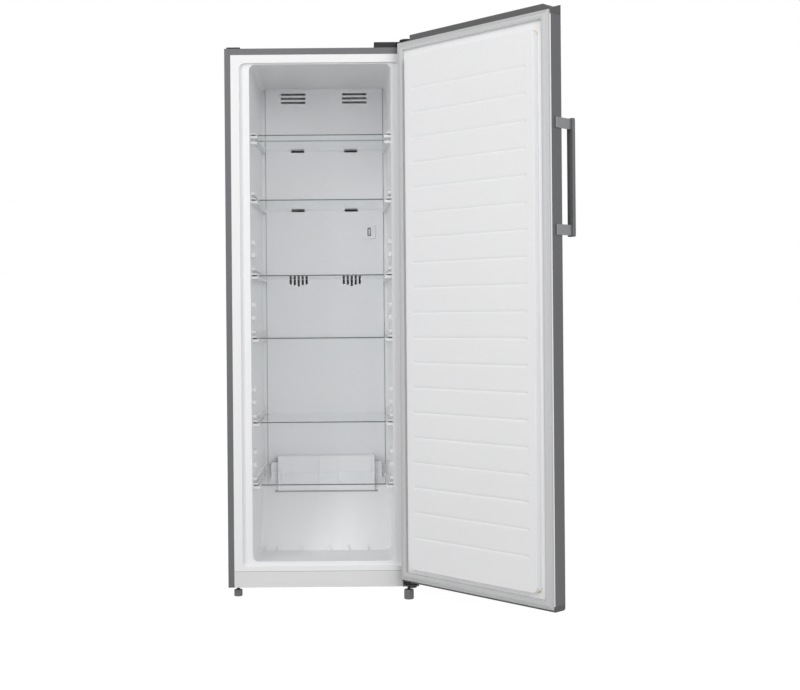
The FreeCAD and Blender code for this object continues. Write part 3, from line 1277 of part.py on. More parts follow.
save("refrigerant_pipes", *refrigerant_pipes())
save("rear_cover", rear_cover())
save("rear_cover_screws", *rear_cover_screws())
save("cord_gland", cord_gland())
save("left_foot", foot(LEFT_FOOT_X, LEFT_FOOT_Y, LEFT_FOOT_R, LEFT_FOOT_H, CAB_BASE + RAIL_BOX_T))
save("right_foot", foot(RIGHT_FOOT_X, RIGHT_FOOT_Y, RIGHT_FOOT_R, RIGHT_FOOT_H, ARM_Z + PLATE_T))
save("left_roller", roller(-1))
save("right_roller", roller(1))
save("roller_brackets", roller_bracket(-1), roller_bracket(1))
save("top_hinge_bracket", top_hinge_bracket())
save("top_hinge_cover", top_hinge_cover())
save("hinge_screws", *hinge_screws())
save("bottom_hinge_bracket", bottom_hinge_bracket())
save("hinge_pins", *hinge_pins())
for number, height in enumerate(SHELF_Z, start=1):
    save("shelf_%d" % number, glass_shelf(height))
save("shelf_rail", shelf_rail())
save_on_door("door_skin", door_skin())
save_on_door("door_foam", door_foam())
save_on_door("door_liner", door_liner())
save_on_door("door_gasket", door_gasket())
save_on_door("door_top_cap", door_top_cap())
save_on_door("door_bottom_cap", door_bottom_cap())
save_on_door("door_bushes", bush(DOOR_TOP, 1), bush(DOOR_BOTTOM, -1))
save_on_door("door_stop", door_stop())
save_on_door("handle_bar", handle_bar())
save_on_door("handle_brackets", *handle_brackets())
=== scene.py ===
# %% [markdown]
# # An upright freezer, dressed for looks
# This lesson dresses a freezer that was built as solids. The solids give every size and place, so nothing
# is measured twice: each cell reads the box of the solid that it dresses. Work goes from the outside in,
# and each cell makes one real piece or one real finish.

# %% Load the solids
import bpy
import bmesh
import json
import math
from functools import partial
from mathutils import Matrix, Vector


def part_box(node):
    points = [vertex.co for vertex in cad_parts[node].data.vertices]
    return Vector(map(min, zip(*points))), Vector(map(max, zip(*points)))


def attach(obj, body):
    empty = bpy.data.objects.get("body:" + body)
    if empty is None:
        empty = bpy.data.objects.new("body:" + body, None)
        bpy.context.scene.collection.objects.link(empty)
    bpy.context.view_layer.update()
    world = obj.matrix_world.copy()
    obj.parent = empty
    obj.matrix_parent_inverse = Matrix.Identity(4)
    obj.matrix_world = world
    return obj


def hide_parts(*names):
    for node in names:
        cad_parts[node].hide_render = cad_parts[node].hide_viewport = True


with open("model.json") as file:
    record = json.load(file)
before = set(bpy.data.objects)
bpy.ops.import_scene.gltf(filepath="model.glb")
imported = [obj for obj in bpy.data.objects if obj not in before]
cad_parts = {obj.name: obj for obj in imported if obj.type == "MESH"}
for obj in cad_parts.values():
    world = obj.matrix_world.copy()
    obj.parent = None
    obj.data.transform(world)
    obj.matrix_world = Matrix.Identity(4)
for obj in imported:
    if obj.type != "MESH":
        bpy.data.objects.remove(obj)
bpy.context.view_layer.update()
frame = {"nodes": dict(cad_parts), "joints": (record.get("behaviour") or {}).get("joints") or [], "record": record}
NODES = frame["nodes"]
RECORD = frame["record"]
MM = 0.001
SLOT_OF = {row["node"]: row["material_slot"] for row in RECORD["subparts"]}
BODY_OF = {name: body for body, names in RECORD["behaviour"]["bodies"].items() for name in names}

# %% [markdown]
# ## Where the door turns
# The door stands open. Its pieces are easier to describe with the door closed, so they are made closed
# and then turned about the hinge pin, as the door itself is. The pin and the angle come from the door's
# joint.

# %% The hinge line and the cabinet's main sizes
SWING = next(joint for joint in frame["joints"] if joint["name"] == "door_swing")
PIN = Vector(SWING["pos_m"])
OPEN = -math.radians(SWING["range_deg"][0])
TO_OPEN = Matrix.Translation(PIN) @ Matrix.Rotation(OPEN, 4, "Z") @ Matrix.Translation(-PIN)
TO_CLOSED = TO_OPEN.inverted()


def span(points):
    """The lowest and highest corners of the points' box."""
    return [Vector([pick(point[axis] for point in points) for axis in range(3)]) for pick in (min, max)]


def closed_box(node):
    """The box of a door solid, with the door shut."""
    return span([TO_CLOSED @ vertex.co for vertex in NODES[node].data.vertices])


SIDE_LOW, SIDE_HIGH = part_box("left_side_panel")
FRONT = SIDE_LOW.y
print("door open", round(math.degrees(OPEN), 1), "degrees, cabinet front at y =", round(FRONT, 4))

# %% [markdown]
# ## The camera
# The photograph was taken from about four metres away, a little left of the cabinet's middle and at the
# height of its middle. The lens was found by fitting the cabinet's and the door's corners. The picture is
# 800 by 690, and the lens looks straight ahead with its image shifted, so upright edges stay upright.

# %% Camera
IMAGE_WIDTH = 800
IMAGE_HEIGHT = 690
FOCAL_PIXELS = 1247.51
CENTRE_X = 361.15
CENTRE_Y = 316.76
ROLL = -0.47
EYE = Vector((0.12345, -4.18015, 0.87031))
SENSOR_WIDTH = 36.0

camera_data = bpy.data.cameras.new("camera")
camera_data.sensor_width = SENSOR_WIDTH
camera_data.lens = SENSOR_WIDTH * FOCAL_PIXELS / IMAGE_WIDTH
camera_data.shift_x = (IMAGE_WIDTH / 2 - CENTRE_X) / IMAGE_WIDTH
camera_data.shift_y = (CENTRE_Y - IMAGE_HEIGHT / 2) / IMAGE_WIDTH
camera = bpy.data.objects.new("camera", camera_data)
bpy.context.scene.collection.objects.link(camera)
level = Matrix.Rotation(math.radians(90), 4, "X")
camera.matrix_world = Matrix.Translation(EYE) @ level @ Matrix.Rotation(math.radians(ROLL), 4, "Z")
bpy.context.scene.camera = camera
print("lens", round(camera_data.lens, 2), "mm")

# %% [markdown]
# ## Small helpers for node trees
# A material and a Geometry Nodes tree are both graphs. One helper adds a node and fills its sockets, and
# one chains arithmetic, so that each later cell reads like the formula it stands for.


# %% Node helpers
def fill(tree, node, inputs):
    """Links each input that is given as a socket, and sets each other one to its value."""
    for key, value in inputs.items():
        if isinstance(value, bpy.types.NodeSocket):
            tree.links.new(value, node.inputs[key])
        else:
            node.inputs[key].default_value = value
    return node


def add_node(tree, kind, inputs=None, **settings):
    node = tree.nodes.new(kind)
    for key, value in settings.items():
        setattr(node, key, value)
    return fill(tree, node, inputs or {})


def calc(tree, operation, *values):
    return add_node(tree, "ShaderNodeMath", dict(enumerate(values)), operation=operation).outputs[0]


def words(tree):
    """Short names for one tree: put a node, run an operation, and the four everyday operations."""
    everyday = [partial(calc, tree, kind) for kind in ("ADD", "SUBTRACT", "MULTIPLY", "DIVIDE")]
    return [partial(add_node, tree), partial(calc, tree)] + everyday


def new_material(name):
    material = bpy.data.materials.new(name)
    material.use_nodes = True
    return material, material.node_tree


def new_group(name, kind, inputs, outputs):
    """A node group with named sockets; returns the tree and its input and output nodes."""
    tree = bpy.data.node_groups.new(name, kind)
    for label, socket, value in inputs:
        made = tree.interface.new_socket(label, in_out="INPUT", socket_type=socket)
        if value is not None:
            made.default_value = value
    for label, socket in outputs:
        tree.interface.new_socket(label, in_out="OUTPUT", socket_type=socket)
    return tree, tree.nodes.new("NodeGroupInput").outputs, tree.nodes.new("NodeGroupOutput")


FLOAT = "NodeSocketFloat"
COLOR = "NodeSocketColor"
VECTOR = "NodeSocketVector"
GEOMETRY = "NodeSocketGeometry"
MATERIAL = "NodeSocketMaterial"
INTEGER = "NodeSocketInt"

# %% [markdown]
# ## Light
# A catalogue picture is lit by large soft boxes. The sky gives an even level, two panels above the camera
# make outside faces a little brighter at the top, and a tall panel on each side reaches the walls inside.
# The white behind the freezer is only for rays that go straight from the camera, or through glass, or off
# gloss.

# %% World and lamps
SKY_LEVEL = 0.31


def looked_at(tree):
    """1 for rays from the camera, through glass or off gloss, and 0 for all others."""
    path = add_node(tree, "ShaderNodeLightPath")
    seen = calc(tree, "MAXIMUM", path.outputs["Is Camera Ray"], path.outputs["Is Transmission Ray"])
    return calc(tree, "MAXIMUM", seen, path.outputs["Is Glossy Ray"])


world = bpy.data.worlds.new("studio")
bpy.context.scene.world = world
world.use_nodes = True
sky = world.node_tree
sky.nodes.clear()
level_now = calc(sky, "ADD", calc(sky, "MULTIPLY", looked_at(sky), 1.0 - SKY_LEVEL), SKY_LEVEL)
backdrop = add_node(sky, "ShaderNodeBackground", {"Color": (1, 1, 1, 1), "Strength": level_now})
add_node(sky, "ShaderNodeOutputWorld", {"Surface": backdrop.outputs[0]})
bpy.context.scene.view_settings.view_transform = "Standard"


def soft_box(name, place, target, width, height, watts):
    lamp = bpy.data.lights.new(name, "AREA")
    lamp.shape = "RECTANGLE"
    lamp.size = width
    lamp.size_y = height
    lamp.energy = watts
    panel = bpy.data.objects.new(name, lamp)
    bpy.context.scene.collection.objects.link(panel)
    aim = Vector(target) - Vector(place)
    panel.matrix_world = Matrix.Translation(place) @ aim.to_track_quat("-Z", "Y").to_matrix().to_4x4()
    panel.visible_camera = False


soft_box("key_panel", (-1.6, -3.4, 3.6), (0.0, 0.0, 1.2), 2.4, 1.6, 37)
soft_box("fill_panel", (2.4, -3.8, 2.6), (0.3, 0.0, 1.1), 1.8, 1.8, 30)
soft_box("left_panel", (-2.8, -3.6, 1.7), (0.1, 0.0, 1.3), 1.4, 2.2, 41)
soft_box("right_panel", (1.5, -4.8, 1.8), (-0.1, 0.0, 1.3), 1.4, 2.2, 31)

# %% [markdown]
# ## The floor
# The floor is a plain pale sheet. It is lit like anything else, so the freezer's shadow falls on it, and
# a part of its brightness is its own for the camera, which lets it run into the white behind without an
# edge.

# %% Floor
FLOOR_REACH = 9.0
FLOOR_OWN_LIGHT = 0.93
FLOOR_PALE = 0.24
FLOOR_BOUNCE = 0.70


def floor_finish():
    material, tree = new_material("pale_floor")
    tree.nodes.clear()
    seen = looked_at(tree)
    pale = add_node(tree, "ShaderNodeBsdfDiffuse", {"Color": (FLOOR_PALE,) * 3 + (1,)})
    own = add_node(tree, "ShaderNodeEmission", {"Strength": FLOOR_OWN_LIGHT})
    shown = add_node(tree, "ShaderNodeAddShader", {0: pale.outputs[0], 1: own.outputs[0]})
    plain = add_node(tree, "ShaderNodeBsdfDiffuse", {"Color": (FLOOR_BOUNCE,) * 3 + (1,)})
    mixed = add_node(tree, "ShaderNodeMixShader", {0: seen, 1: plain.outputs[0], 2: shown.outputs[0]})
    add_node(tree, "ShaderNodeOutputMaterial", {"Surface": mixed.outputs[0]})
    return material


floor_mesh = bpy.data.meshes.new("floor")
corners = [(x * FLOOR_REACH, y * FLOOR_REACH, 0) for x, y in ((-1, -1), (1, -1), (1, 1), (-1, 1))]
floor_mesh.from_pydata(corners, [], [(0, 1, 2, 3)])
floor_mesh.materials.append(floor_finish())
floor = bpy.data.objects.new("floor", floor_mesh)
bpy.context.scene.collection.objects.link(floor)

# %% [markdown]
# ## Effects that several finishes share
# Real plastic is never one flat colour. Sheet plastic has a faint ripple from the mould, paint and
# brushed steel have a grain, and every surface differs a little in gloss from place to place. Each effect
# is a group that is built once and used with its own values in each material.


# %% Shared groups
def make_ripple():
    """A fine height pattern; Stretch squeezes it along an axis, as brushing does."""
    sockets = [("Scale", FLOAT, 300.0), ("Stretch", VECTOR, (1, 1, 1)), ("Detail", FLOAT, 2.0)]
    tree, given, out = new_group("ripple", "ShaderNodeTree", sockets, [("Height", FLOAT)])
    place = add_node(tree, "ShaderNodeTexCoord")
    squeezed = add_node(tree, "ShaderNodeVectorMath", {0: place.outputs["Object"], 1: given["Stretch"]},
                        operation="MULTIPLY")
    noise = add_node(tree, "ShaderNodeTexNoise",
                     {"Vector": squeezed.outputs[0], "Scale": given["Scale"], "Detail": given["Detail"]})
    tree.links.new(noise.outputs["Fac"], out.inputs["Height"])
    return tree


def patches(tree, given, detail):
    """Soft patches round zero, as strong as Amount says."""
    place = add_node(tree, "ShaderNodeTexCoord")
    noise = add_node(tree, "ShaderNodeTexNoise",
                     {"Vector": place.outputs["Object"], "Scale": given["Scale"], "Detail": detail})
    return calc(tree, "MULTIPLY", calc(tree, "SUBTRACT", noise.outputs["Fac"], 0.5), given["Amount"])


def make_mottle():
    """Shifts a colour a little lighter and darker over large soft patches."""
    sockets = [("Color", COLOR, None), ("Amount", FLOAT, 0.03), ("Scale", FLOAT, 4.0)]
    tree, given, out = new_group("mottle", "ShaderNodeTree", sockets, [("Color", COLOR)])
    factor = calc(tree, "ADD", patches(tree, given, 3.0), 1.0)
    shifted = add_node(tree, "ShaderNodeVectorMath", {0: given["Color"], "Scale": factor}, operation="SCALE")
    tree.links.new(shifted.outputs[0], out.inputs["Color"])
    return tree


def make_gloss_change():
    """Roughness that varies round its mean, as handled and wiped surfaces do."""
    sockets = [("Roughness", FLOAT, 0.4), ("Amount", FLOAT, 0.08), ("Scale", FLOAT, 9.0)]
    tree, given, out = new_group("gloss_change", "ShaderNodeTree", sockets, [("Roughness", FLOAT)])
    varied = calc(tree, "ADD", patches(tree, given, 4.0), given["Roughness"])
    tree.links.new(varied, out.inputs["Roughness"])
    return tree


RIPPLE = make_ripple()
MOTTLE = make_mottle()
GLOSS_CHANGE = make_gloss_change()
print("shared groups:", RIPPLE.name, MOTTLE.name, GLOSS_CHANGE.name)

# %% [markdown]
# ## Finishes
# One function lays the shared groups round a Principled shader. What makes one finish differ from another
# is then a short line of values: its colour, its gloss, whether it is metal, and the size and stretch of
# its grain.


# %% Material builder
def finish(name, color, roughness, metallic=0.0, grain=(260.0, 0.02), stretch=(1, 1, 1), vary=0.04,
           gloss_vary=0.06, coat=0.0, specular=0.5):
    material, tree = new_material(name)
    tone = add_node(tree, "ShaderNodeGroup", {"Color": (*color, 1), "Amount": vary}, node_tree=MOTTLE)
    gloss = add_node(tree, "ShaderNodeGroup", {"Roughness": roughness, "Amount": gloss_vary},
                     node_tree=GLOSS_CHANGE)
    height = add_node(tree, "ShaderNodeGroup", {"Scale": grain[0], "Stretch": stretch}, node_tree=RIPPLE)
    bump = add_node(tree, "ShaderNodeBump",
                    {"Height": height.outputs["Height"], "Strength": grain[1], "Distance": 1 * MM})
    fill(tree, tree.nodes["Principled BSDF"], {
        "Base Color": tone.outputs["Color"], "Roughness": gloss.outputs["Roughness"],
        "Normal": bump.outputs["Normal"], "Metallic": metallic, "Coat Weight": coat,
        "Specular IOR Level": specular})
    return material


EVEN = (1, 1, 1)
LENGTHWAYS = (1.0, 1.0, 0.02)    # grain drawn out along the height
# color, roughness, metallic, grain, stretch, vary, gloss_vary, coat, specular
FINISH_VALUES = {
    "side_steel": ((0.140, 0.142, 0.147), 0.42, 0.25, (900.0, 0.10), LENGTHWAYS, 0.10),
    "zinc_steel": ((0.52, 0.53, 0.55), 0.42, 0.85, (90.0, 0.05), EVEN, 0.25, 0.25),
    "foam": ((0.80, 0.72, 0.50), 0.9, 0.0, (500.0, 0.6), EVEN, 0.2),
    "liner_white": ((0.92, 0.922, 0.930), 0.38, 0.0, (220.0, 0.05), EVEN, 0.02, 0.06, 0.0, 0.4),
    "duct_white": ((0.90, 0.902, 0.920), 0.42, 0.0, (300.0, 0.05), EVEN, 0.02),
    "black_plastic": ((0.028, 0.028, 0.030), 0.55, 0.0, (1400.0, 0.30), EVEN, 0.3, 0.06, 0.0, 0.25),
    "gasket_grey": ((0.62, 0.622, 0.628), 0.55, 0.0, (700.0, 0.08), EVEN, 0.05),
    "rail_dark": ((0.30, 0.33, 0.34), 0.35, 0.0, (400.0, 0.05)),
    "aluminium": ((0.72, 0.73, 0.75), 0.35, 1.0, (500.0, 0.1)),
    "heater_steel": ((0.42, 0.42, 0.44), 0.32, 1.0, (900.0, 0.05)),
    "copper": ((0.72, 0.36, 0.22), 0.30, 1.0, (500.0, 0.08), EVEN, 0.25, 0.2),
    "compressor_black": ((0.018, 0.018, 0.019), 0.28, 0.0, (500.0, 0.12), EVEN, 0.2, 0.1, 0.3),
    "grommet_rubber": ((0.02, 0.02, 0.021), 0.75, 0.0, (900.0, 0.2)),
    "nylon": ((0.72, 0.72, 0.70), 0.45, 0.0, (500.0, 0.05)),
    "dark_steel": ((0.045, 0.046, 0.05), 0.38, 0.4, (800.0, 0.15)),
    "handle_metal": ((0.150, 0.152, 0.157), 0.46, 0.10, (900.0, 0.12), LENGTHWAYS, 0.08),
    "bracket_metal": ((0.27, 0.275, 0.285), 0.36, 0.6, (900.0, 0.10), EVEN, 0.08),
}
FINISHES = {name: finish(name, *values) for name, values in FINISH_VALUES.items()}
print(len(FINISHES), "finishes")

# %% [markdown]
# ## Glass
# A shelf is 4 mm safety glass. Its faces are clear, and its narrow edges have a colour, because light that
# runs inside the sheet leaves there. The faces let shadow rays through, so that the space under a shelf is
# lit as it is in life without thousands of samples.


# %% Glass materials
GLASS_TINT = (0.975, 0.985, 0.985)


def clear_glass():
    material, tree = new_material("glass")
    shader = fill(tree, tree.nodes["Principled BSDF"], {
        "Base Color": (*GLASS_TINT, 1), "Transmission Weight": 1.0, "Roughness": 0.0, "IOR": 1.5})
    open_way = add_node(tree, "ShaderNodeBsdfTransparent", {"Color": (*GLASS_TINT, 1)})
    path = add_node(tree, "ShaderNodeLightPath")
    through = calc(tree, "MAXIMUM", path.outputs["Is Shadow Ray"], path.outputs["Is Diffuse Ray"])
    mixed = add_node(tree, "ShaderNodeMixShader", {0: through, 1: shader.outputs[0], 2: open_way.outputs[0]})
    tree.links.new(mixed.outputs[0], tree.nodes["Material Output"].inputs["Surface"])
    return material


FINISHES["glass"] = clear_glass()
GLASS_FRONT = finish("glass_front", (0.085, 0.098, 0.100), 0.22, 0.0, (900.0, 0.05), EVEN, 0.2)
GLASS_GROUND = finish("glass_ground", (0.60, 0.64, 0.645), 0.35, 0.0, (900.0, 0.05), EVEN, 0.1)

# %% [markdown]
# ## Every solid gets its finish
# The record names a finish for each solid. Assigning it to the solid's own slots dresses everything at
# once. The later cells then replace the pieces that show with softer, more detailed ones.

# %% Dress the solids
for name, solid in NODES.items():
    solid.data.materials.clear()
    solid.data.materials.append(FINISHES[SLOT_OF[name]])

# %% [markdown]
# ## Rounding the edges
# No moulded or bent edge is sharp, and it is the thin highlight along an edge that makes a piece look
# real. A copy of the solid is welded, its flat faces are joined, and a Bevel modifier rounds the edges
# that turn by more than a few tens of degrees. The copy then stands in for the solid.

# %% Rounded copies
FLAT = math.radians(0.6)
SMOOTH = math.radians(35)
WELD = 2e-6


def link(mesh, name):
    piece = bpy.data.objects.new(name, mesh)
    bpy.context.scene.collection.objects.link(piece)
    return piece


def skin(name, rings, closed=False):
    """A closed mesh over rings of points; the two ends are capped, or joined where it is closed on itself."""
    work = bmesh.new()
    rings = [[work.verts.new(point) for point in ring] for ring in rings]
    pairs = list(zip(rings, rings[1:]))
    if closed:
        pairs.append((rings[-1], rings[0]))
    else:
        work.faces.new(rings[0])
        work.faces.new(rings[-1])
    for one, two in pairs:
        for here in range(len(one)):
            after = (here + 1) % len(one)
            work.faces.new((one[here], one[after], two[after], two[here]))
    bmesh.ops.recalc_face_normals(work, faces=work.faces)
    mesh = bpy.data.meshes.new(name)
    work.to_mesh(mesh)
    work.free()
    return link(mesh, name)


def bake_modifiers(piece):
    """Turns what the modifiers make into the piece's own mesh."""
    graph = bpy.context.evaluated_depsgraph_get()
    made = bpy.data.meshes.new_from_object(piece.evaluated_get(graph))
    piece.modifiers.clear()
    piece.data = made


def weld(mesh):
    work = bmesh.new()
    work.from_mesh(mesh)
    bmesh.ops.remove_doubles(work, verts=work.verts, dist=WELD)
    bmesh.ops.dissolve_limit(work, angle_limit=FLAT, verts=work.verts, edges=work.edges)
    work.to_mesh(mesh)
    work.free()


def round_edges(piece, radius, angle=30):
    bevel = piece.modifiers.new("round", "BEVEL")
    bevel.width = radius
    bevel.segments = 2
    bevel.limit_method = "ANGLE"
    bevel.angle_limit = math.radians(angle)
    bevel.use_clamp_overlap = True
    bake_modifiers(piece)


def shade(piece, angle=SMOOTH):
    """Smooth shading that leaves broad faces flat, and sharp where the surface turns by more than angle."""
    piece.data.shade_smooth()
    piece.data.set_sharp_from_angle(angle=angle)
    weighted = piece.modifiers.new("weighted", "WEIGHTED_NORMAL")
    weighted.keep_sharp = True
    weighted.weight = 50
    bake_modifiers(piece)


def settle(piece, body, slot, *nodes):
    """Gives a piece its finish and its body, and hides the solids that it stands for."""
    if not piece.data.materials:
        piece.data.materials.append(FINISHES[slot])
    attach(piece, body)
    if nodes:
        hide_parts(*nodes)
    return piece


def rounded(node, radius):
    mesh = NODES[node].data.copy()
    mesh.name = node + "_soft"
    weld(mesh)
    piece = link(mesh, node + "_soft")
    round_edges(piece, radius)
    shade(piece)
    return settle(piece, BODY_OF[node], SLOT_OF[node], node)


ROUNDING = {
    "left_side_panel": 0.8, "right_side_panel": 0.8, "top_panel": 0.6, "corner_cap": 0.8, "kick_panel": 0.6,
    "air_duct_panel": 1.2, "return_air_cowl": 3.0, "sensor_cover": 1.2, "door_skin": 1.2,
    "door_top_cap": 1.0, "door_bottom_cap": 0.8, "door_stop": 0.8, "handle_bar": 2.6,
    "handle_brackets": 0.8, "top_hinge_cover": 1.2, "top_hinge_bracket": 0.4, "bottom_hinge_bracket": 0.5,
    "left_roller": 1.0, "right_roller": 1.0, "roller_brackets": 0.3, "control_box": 2.0, "rear_cover": 0.4,
    "compressor": 0.8, "terminal_cover": 1.5, "evaporation_tray": 0.8, "cord_gland": 0.6, "shelf_rail": 0.6,
    "back_panel": 0.4, "inner_liner": 2.5,
}
SOFT = {node: rounded(node, radius * MM) for node, radius in ROUNDING.items()}
# The kick panel's white is a darker copy of the liner's white. It is painted shade for the low front of the
# cabinet.
OWN_FINISH = {
    "kick_panel": finish("kick_white_painted_shade", (0.80, 0.80, 0.805), 0.42, 0.0, (220.0, 0.05), EVEN, 0.02),
    "door_top_cap": finish("cap_grey", (0.095, 0.096, 0.099), 0.5, 0.0, (1400.0, 0.30), EVEN, 0.2),
}
OWN_FINISH["door_bottom_cap"] = OWN_FINISH["door_top_cap"]
for node, material in OWN_FINISH.items():
    SOFT[node].data.materials[0] = material
print(len(SOFT), "solids have rounded copies")

# %% [markdown]
# ## Glass shelves
# The two faces of each sheet stay clear. Its straight front edge looks dark, because the long way through
# the sheet lies behind it. The sides and the corners are pale and frosted, and the back edge is polished.

# %% Shelves
EDGE_ROUND = 0.5 * MM
FRONT_CORNER = 18.0 * MM
BACK_CORNER = 10.0 * MM
STRAIGHT = 0.98                 # how squarely a straight edge's face looks ahead


def sheet_outline(low, high, steps=8):
    """The sheet's outline, anticlockwise from the left front corner."""
    points = []
    for x, y, radius, start in ((low.x, low.y, FRONT_CORNER, 180), (high.x, low.y, FRONT_CORNER, 270),
                                (high.x, high.y, BACK_CORNER, 0), (low.x, high.y, BACK_CORNER, 90)):
        centre_x = x + math.copysign(radius, (low.x + high.x) / 2 - x)
        centre_y = y + math.copysign(radius, (low.y + high.y) / 2 - y)
        for step in range(steps + 1):
            angle = math.radians(start + 90 * step / steps)
            points.append((centre_x + radius * math.cos(angle), centre_y + radius * math.sin(angle)))
    return points


def ground_edges(piece):
    """Leaves the two broad faces clear and gives the narrow ones round the sheet their own finish."""
    piece.data.materials.append(GLASS_GROUND)
    piece.data.materials.append(GLASS_FRONT)
    for face in piece.data.polygons:
        if abs(face.normal.z) < 0.5 and face.normal.y < STRAIGHT:
            face.material_index = 2 if face.normal.y < -STRAIGHT else 1


for node in sorted(name for name in NODES if name.startswith("shelf_") and name != "shelf_rail"):
    low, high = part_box(node)
    sheet = skin(node + "_sheet", [[(x, y, z) for x, y in sheet_outline(low, high)] for z in (low.z, high.z)])
    round_edges(sheet, EDGE_ROUND, angle=60)
    shade(sheet)
    settle(sheet, BODY_OF[node], SLOT_OF[node], node)
    ground_edges(sheet)

# %% [markdown]
# ## Geometry Nodes that shape by rule
# The door's inner panel is one moulded sheet: a raised field with a soft wall round it and rows of
# shallow grooves. A rule says how high the sheet stands at each point, so the tree starts from a flat
# grid, spreads its lines to where the sheet bends, and lifts each point by the rule. The numbers come in
# through named inputs.


# %% Helpers for Geometry Nodes
def ramp(tree, value, knots):
    """Piecewise linear: knots are (from, to, gain) stretches, each adding its gain as value crosses it."""
    total = None
    for low, high, gain in knots:
        step = add_node(tree, "ShaderNodeMapRange", {0: value, 1: low, 2: high, 3: 0.0, 4: gain})
        total = step.outputs[0] if total is None else calc(tree, "ADD", total, step.outputs[0])
    return total


def smooth(tree, value, low, high):
    """0 below low, 1 above high, and a soft curve between them."""
    step = add_node(tree, "ShaderNodeMapRange", {0: value, 1: low, 2: high}, interpolation_type="SMOOTHSTEP")
    return step.outputs[0]


def hand_out(tree, out, shape, material=None):
    """Ends a tree: the shape becomes a plain mesh, with its material if one is given."""
    last = add_node(tree, "GeometryNodeRealizeInstances", {0: shape})
    if material:
        last = add_node(tree, "GeometryNodeSetMaterial", {"Geometry": last.outputs[0], "Material": material})
    tree.links.new(last.outputs[0], out.inputs["Geometry"])
    return tree


def unit_cylinder(tree, around, rings):
    """A cylinder of radius 1 and height 1; each point's place, and its height from 0 to 1."""
    tube = add_node(tree, "GeometryNodeMeshCylinder",
                    {"Vertices": around, "Side Segments": rings, "Radius": 1.0, "Depth": 1.0})
    at = add_node(tree, "ShaderNodeSeparateXYZ", {0: add_node(tree, "GeometryNodeInputPosition").outputs[0]})
    return tube, at, calc(tree, "ADD", at.outputs[2], 0.5)


def turned_shape(tree, tube, at, wide, height):
    """Moves the cylinder's points to the radius wide and to the height."""
    x, y = [calc(tree, "MULTIPLY", at.outputs[axis], wide) for axis in (0, 1)]
    goal = add_node(tree, "ShaderNodeCombineXYZ", {0: x, 1: y, 2: height})
    return add_node(tree, "GeometryNodeSetPosition",
                    {"Geometry": tube.outputs["Mesh"], "Position": goal.outputs[0]})


def grow_piece(name, tree, values, seed=None):
    """Runs a Geometry Nodes tree with the named values and keeps the result as a plain mesh."""
    piece = link(seed or bpy.data.meshes.new(name), name)
    modifier = piece.modifiers.new("shape", "NODES")
    modifier.node_group = tree
    for item in tree.interface.items_tree:
        if item.in_out == "INPUT" and item.name in values:
            modifier[item.identifier] = values[item.name]
    bake_modifiers(piece)
    return piece


def to_open(piece):
    """Turns a piece that was made with the door shut to where the door stands."""
    piece.data.transform(TO_OPEN)
    return piece


# %% Measures of the door's inner panel
GROOVES = 19
PANEL_LOW, PANEL_HIGH = closed_box("door_liner")
panel_points = [TO_CLOSED @ vertex.co for vertex in NODES["door_liner"].data.vertices]
raised = [point for point in panel_points if point.y > PANEL_HIGH.y - 0.2 * MM]
field = span(raised)
FIELD_HALF, FIELD_LOW, FIELD_HIGH = field[1].x, field[0].z, field[1].z
GROOVE_DEEP = 2.2 * MM
NEAR_BOTTOM = (GROOVE_DEEP - 0.5 * MM, GROOVE_DEEP + 0.05 * MM)
hollow = [point for point in panel_points if NEAR_BOTTOM[0] < PANEL_HIGH.y - point.y < NEAR_BOTTOM[1]
          and abs(point.x) < FIELD_HALF - 5 * MM]
GROOVE_HALF = max(abs(point.x) for point in hollow)


def groove_middle(edge):
    """The middle height of the groove whose edge is given."""
    near = [point.z for point in hollow if abs(point.z - edge) < 12 * MM]
    return (min(near) + max(near)) / 2


GROOVE_LOW = groove_middle(min(point.z for point in hollow))
GROOVE_HIGH = groove_middle(max(point.z for point in hollow))
DOOR_BACK = closed_box("door_skin")[1].y - FRONT
print("raised field", [round(value / MM, 1) for value in (FIELD_HALF, FIELD_LOW, FIELD_HIGH)],
      "grooves", [round(value / MM, 1) for value in (GROOVE_HALF, GROOVE_LOW, GROOVE_HIGH)])

# %% [markdown]
# ## The door's inner panel
# The height rule has two parts. The distance to a rounded rectangle gives the raised field and its soft
# wall, and the distance to the nearest groove line gives the grooves with their round ends. The grid's
# columns and rows are not even: most of them are spent where the sheet bends.


# %% Inner panel by rule
COLUMNS = 150
GROOVE_ROWS = 14                # rows for each groove
MARGIN_ROWS = 34                # rows below the first groove, and as many above the last
FLAT_COLUMNS = 0.12             # share of the columns that the flat middle has
BENT_COLUMNS = 0.94             # share up to the foot of the wall
RIM_ROWS = 0.08                 # share of a margin's rows outside the wall
WALL_ROWS = 0.70                # share up to the wall's inner side
WALLS = 2.2                     # length of that stretch, in walls
GATHER = 2.6                    # how strongly the rows gather at a groove


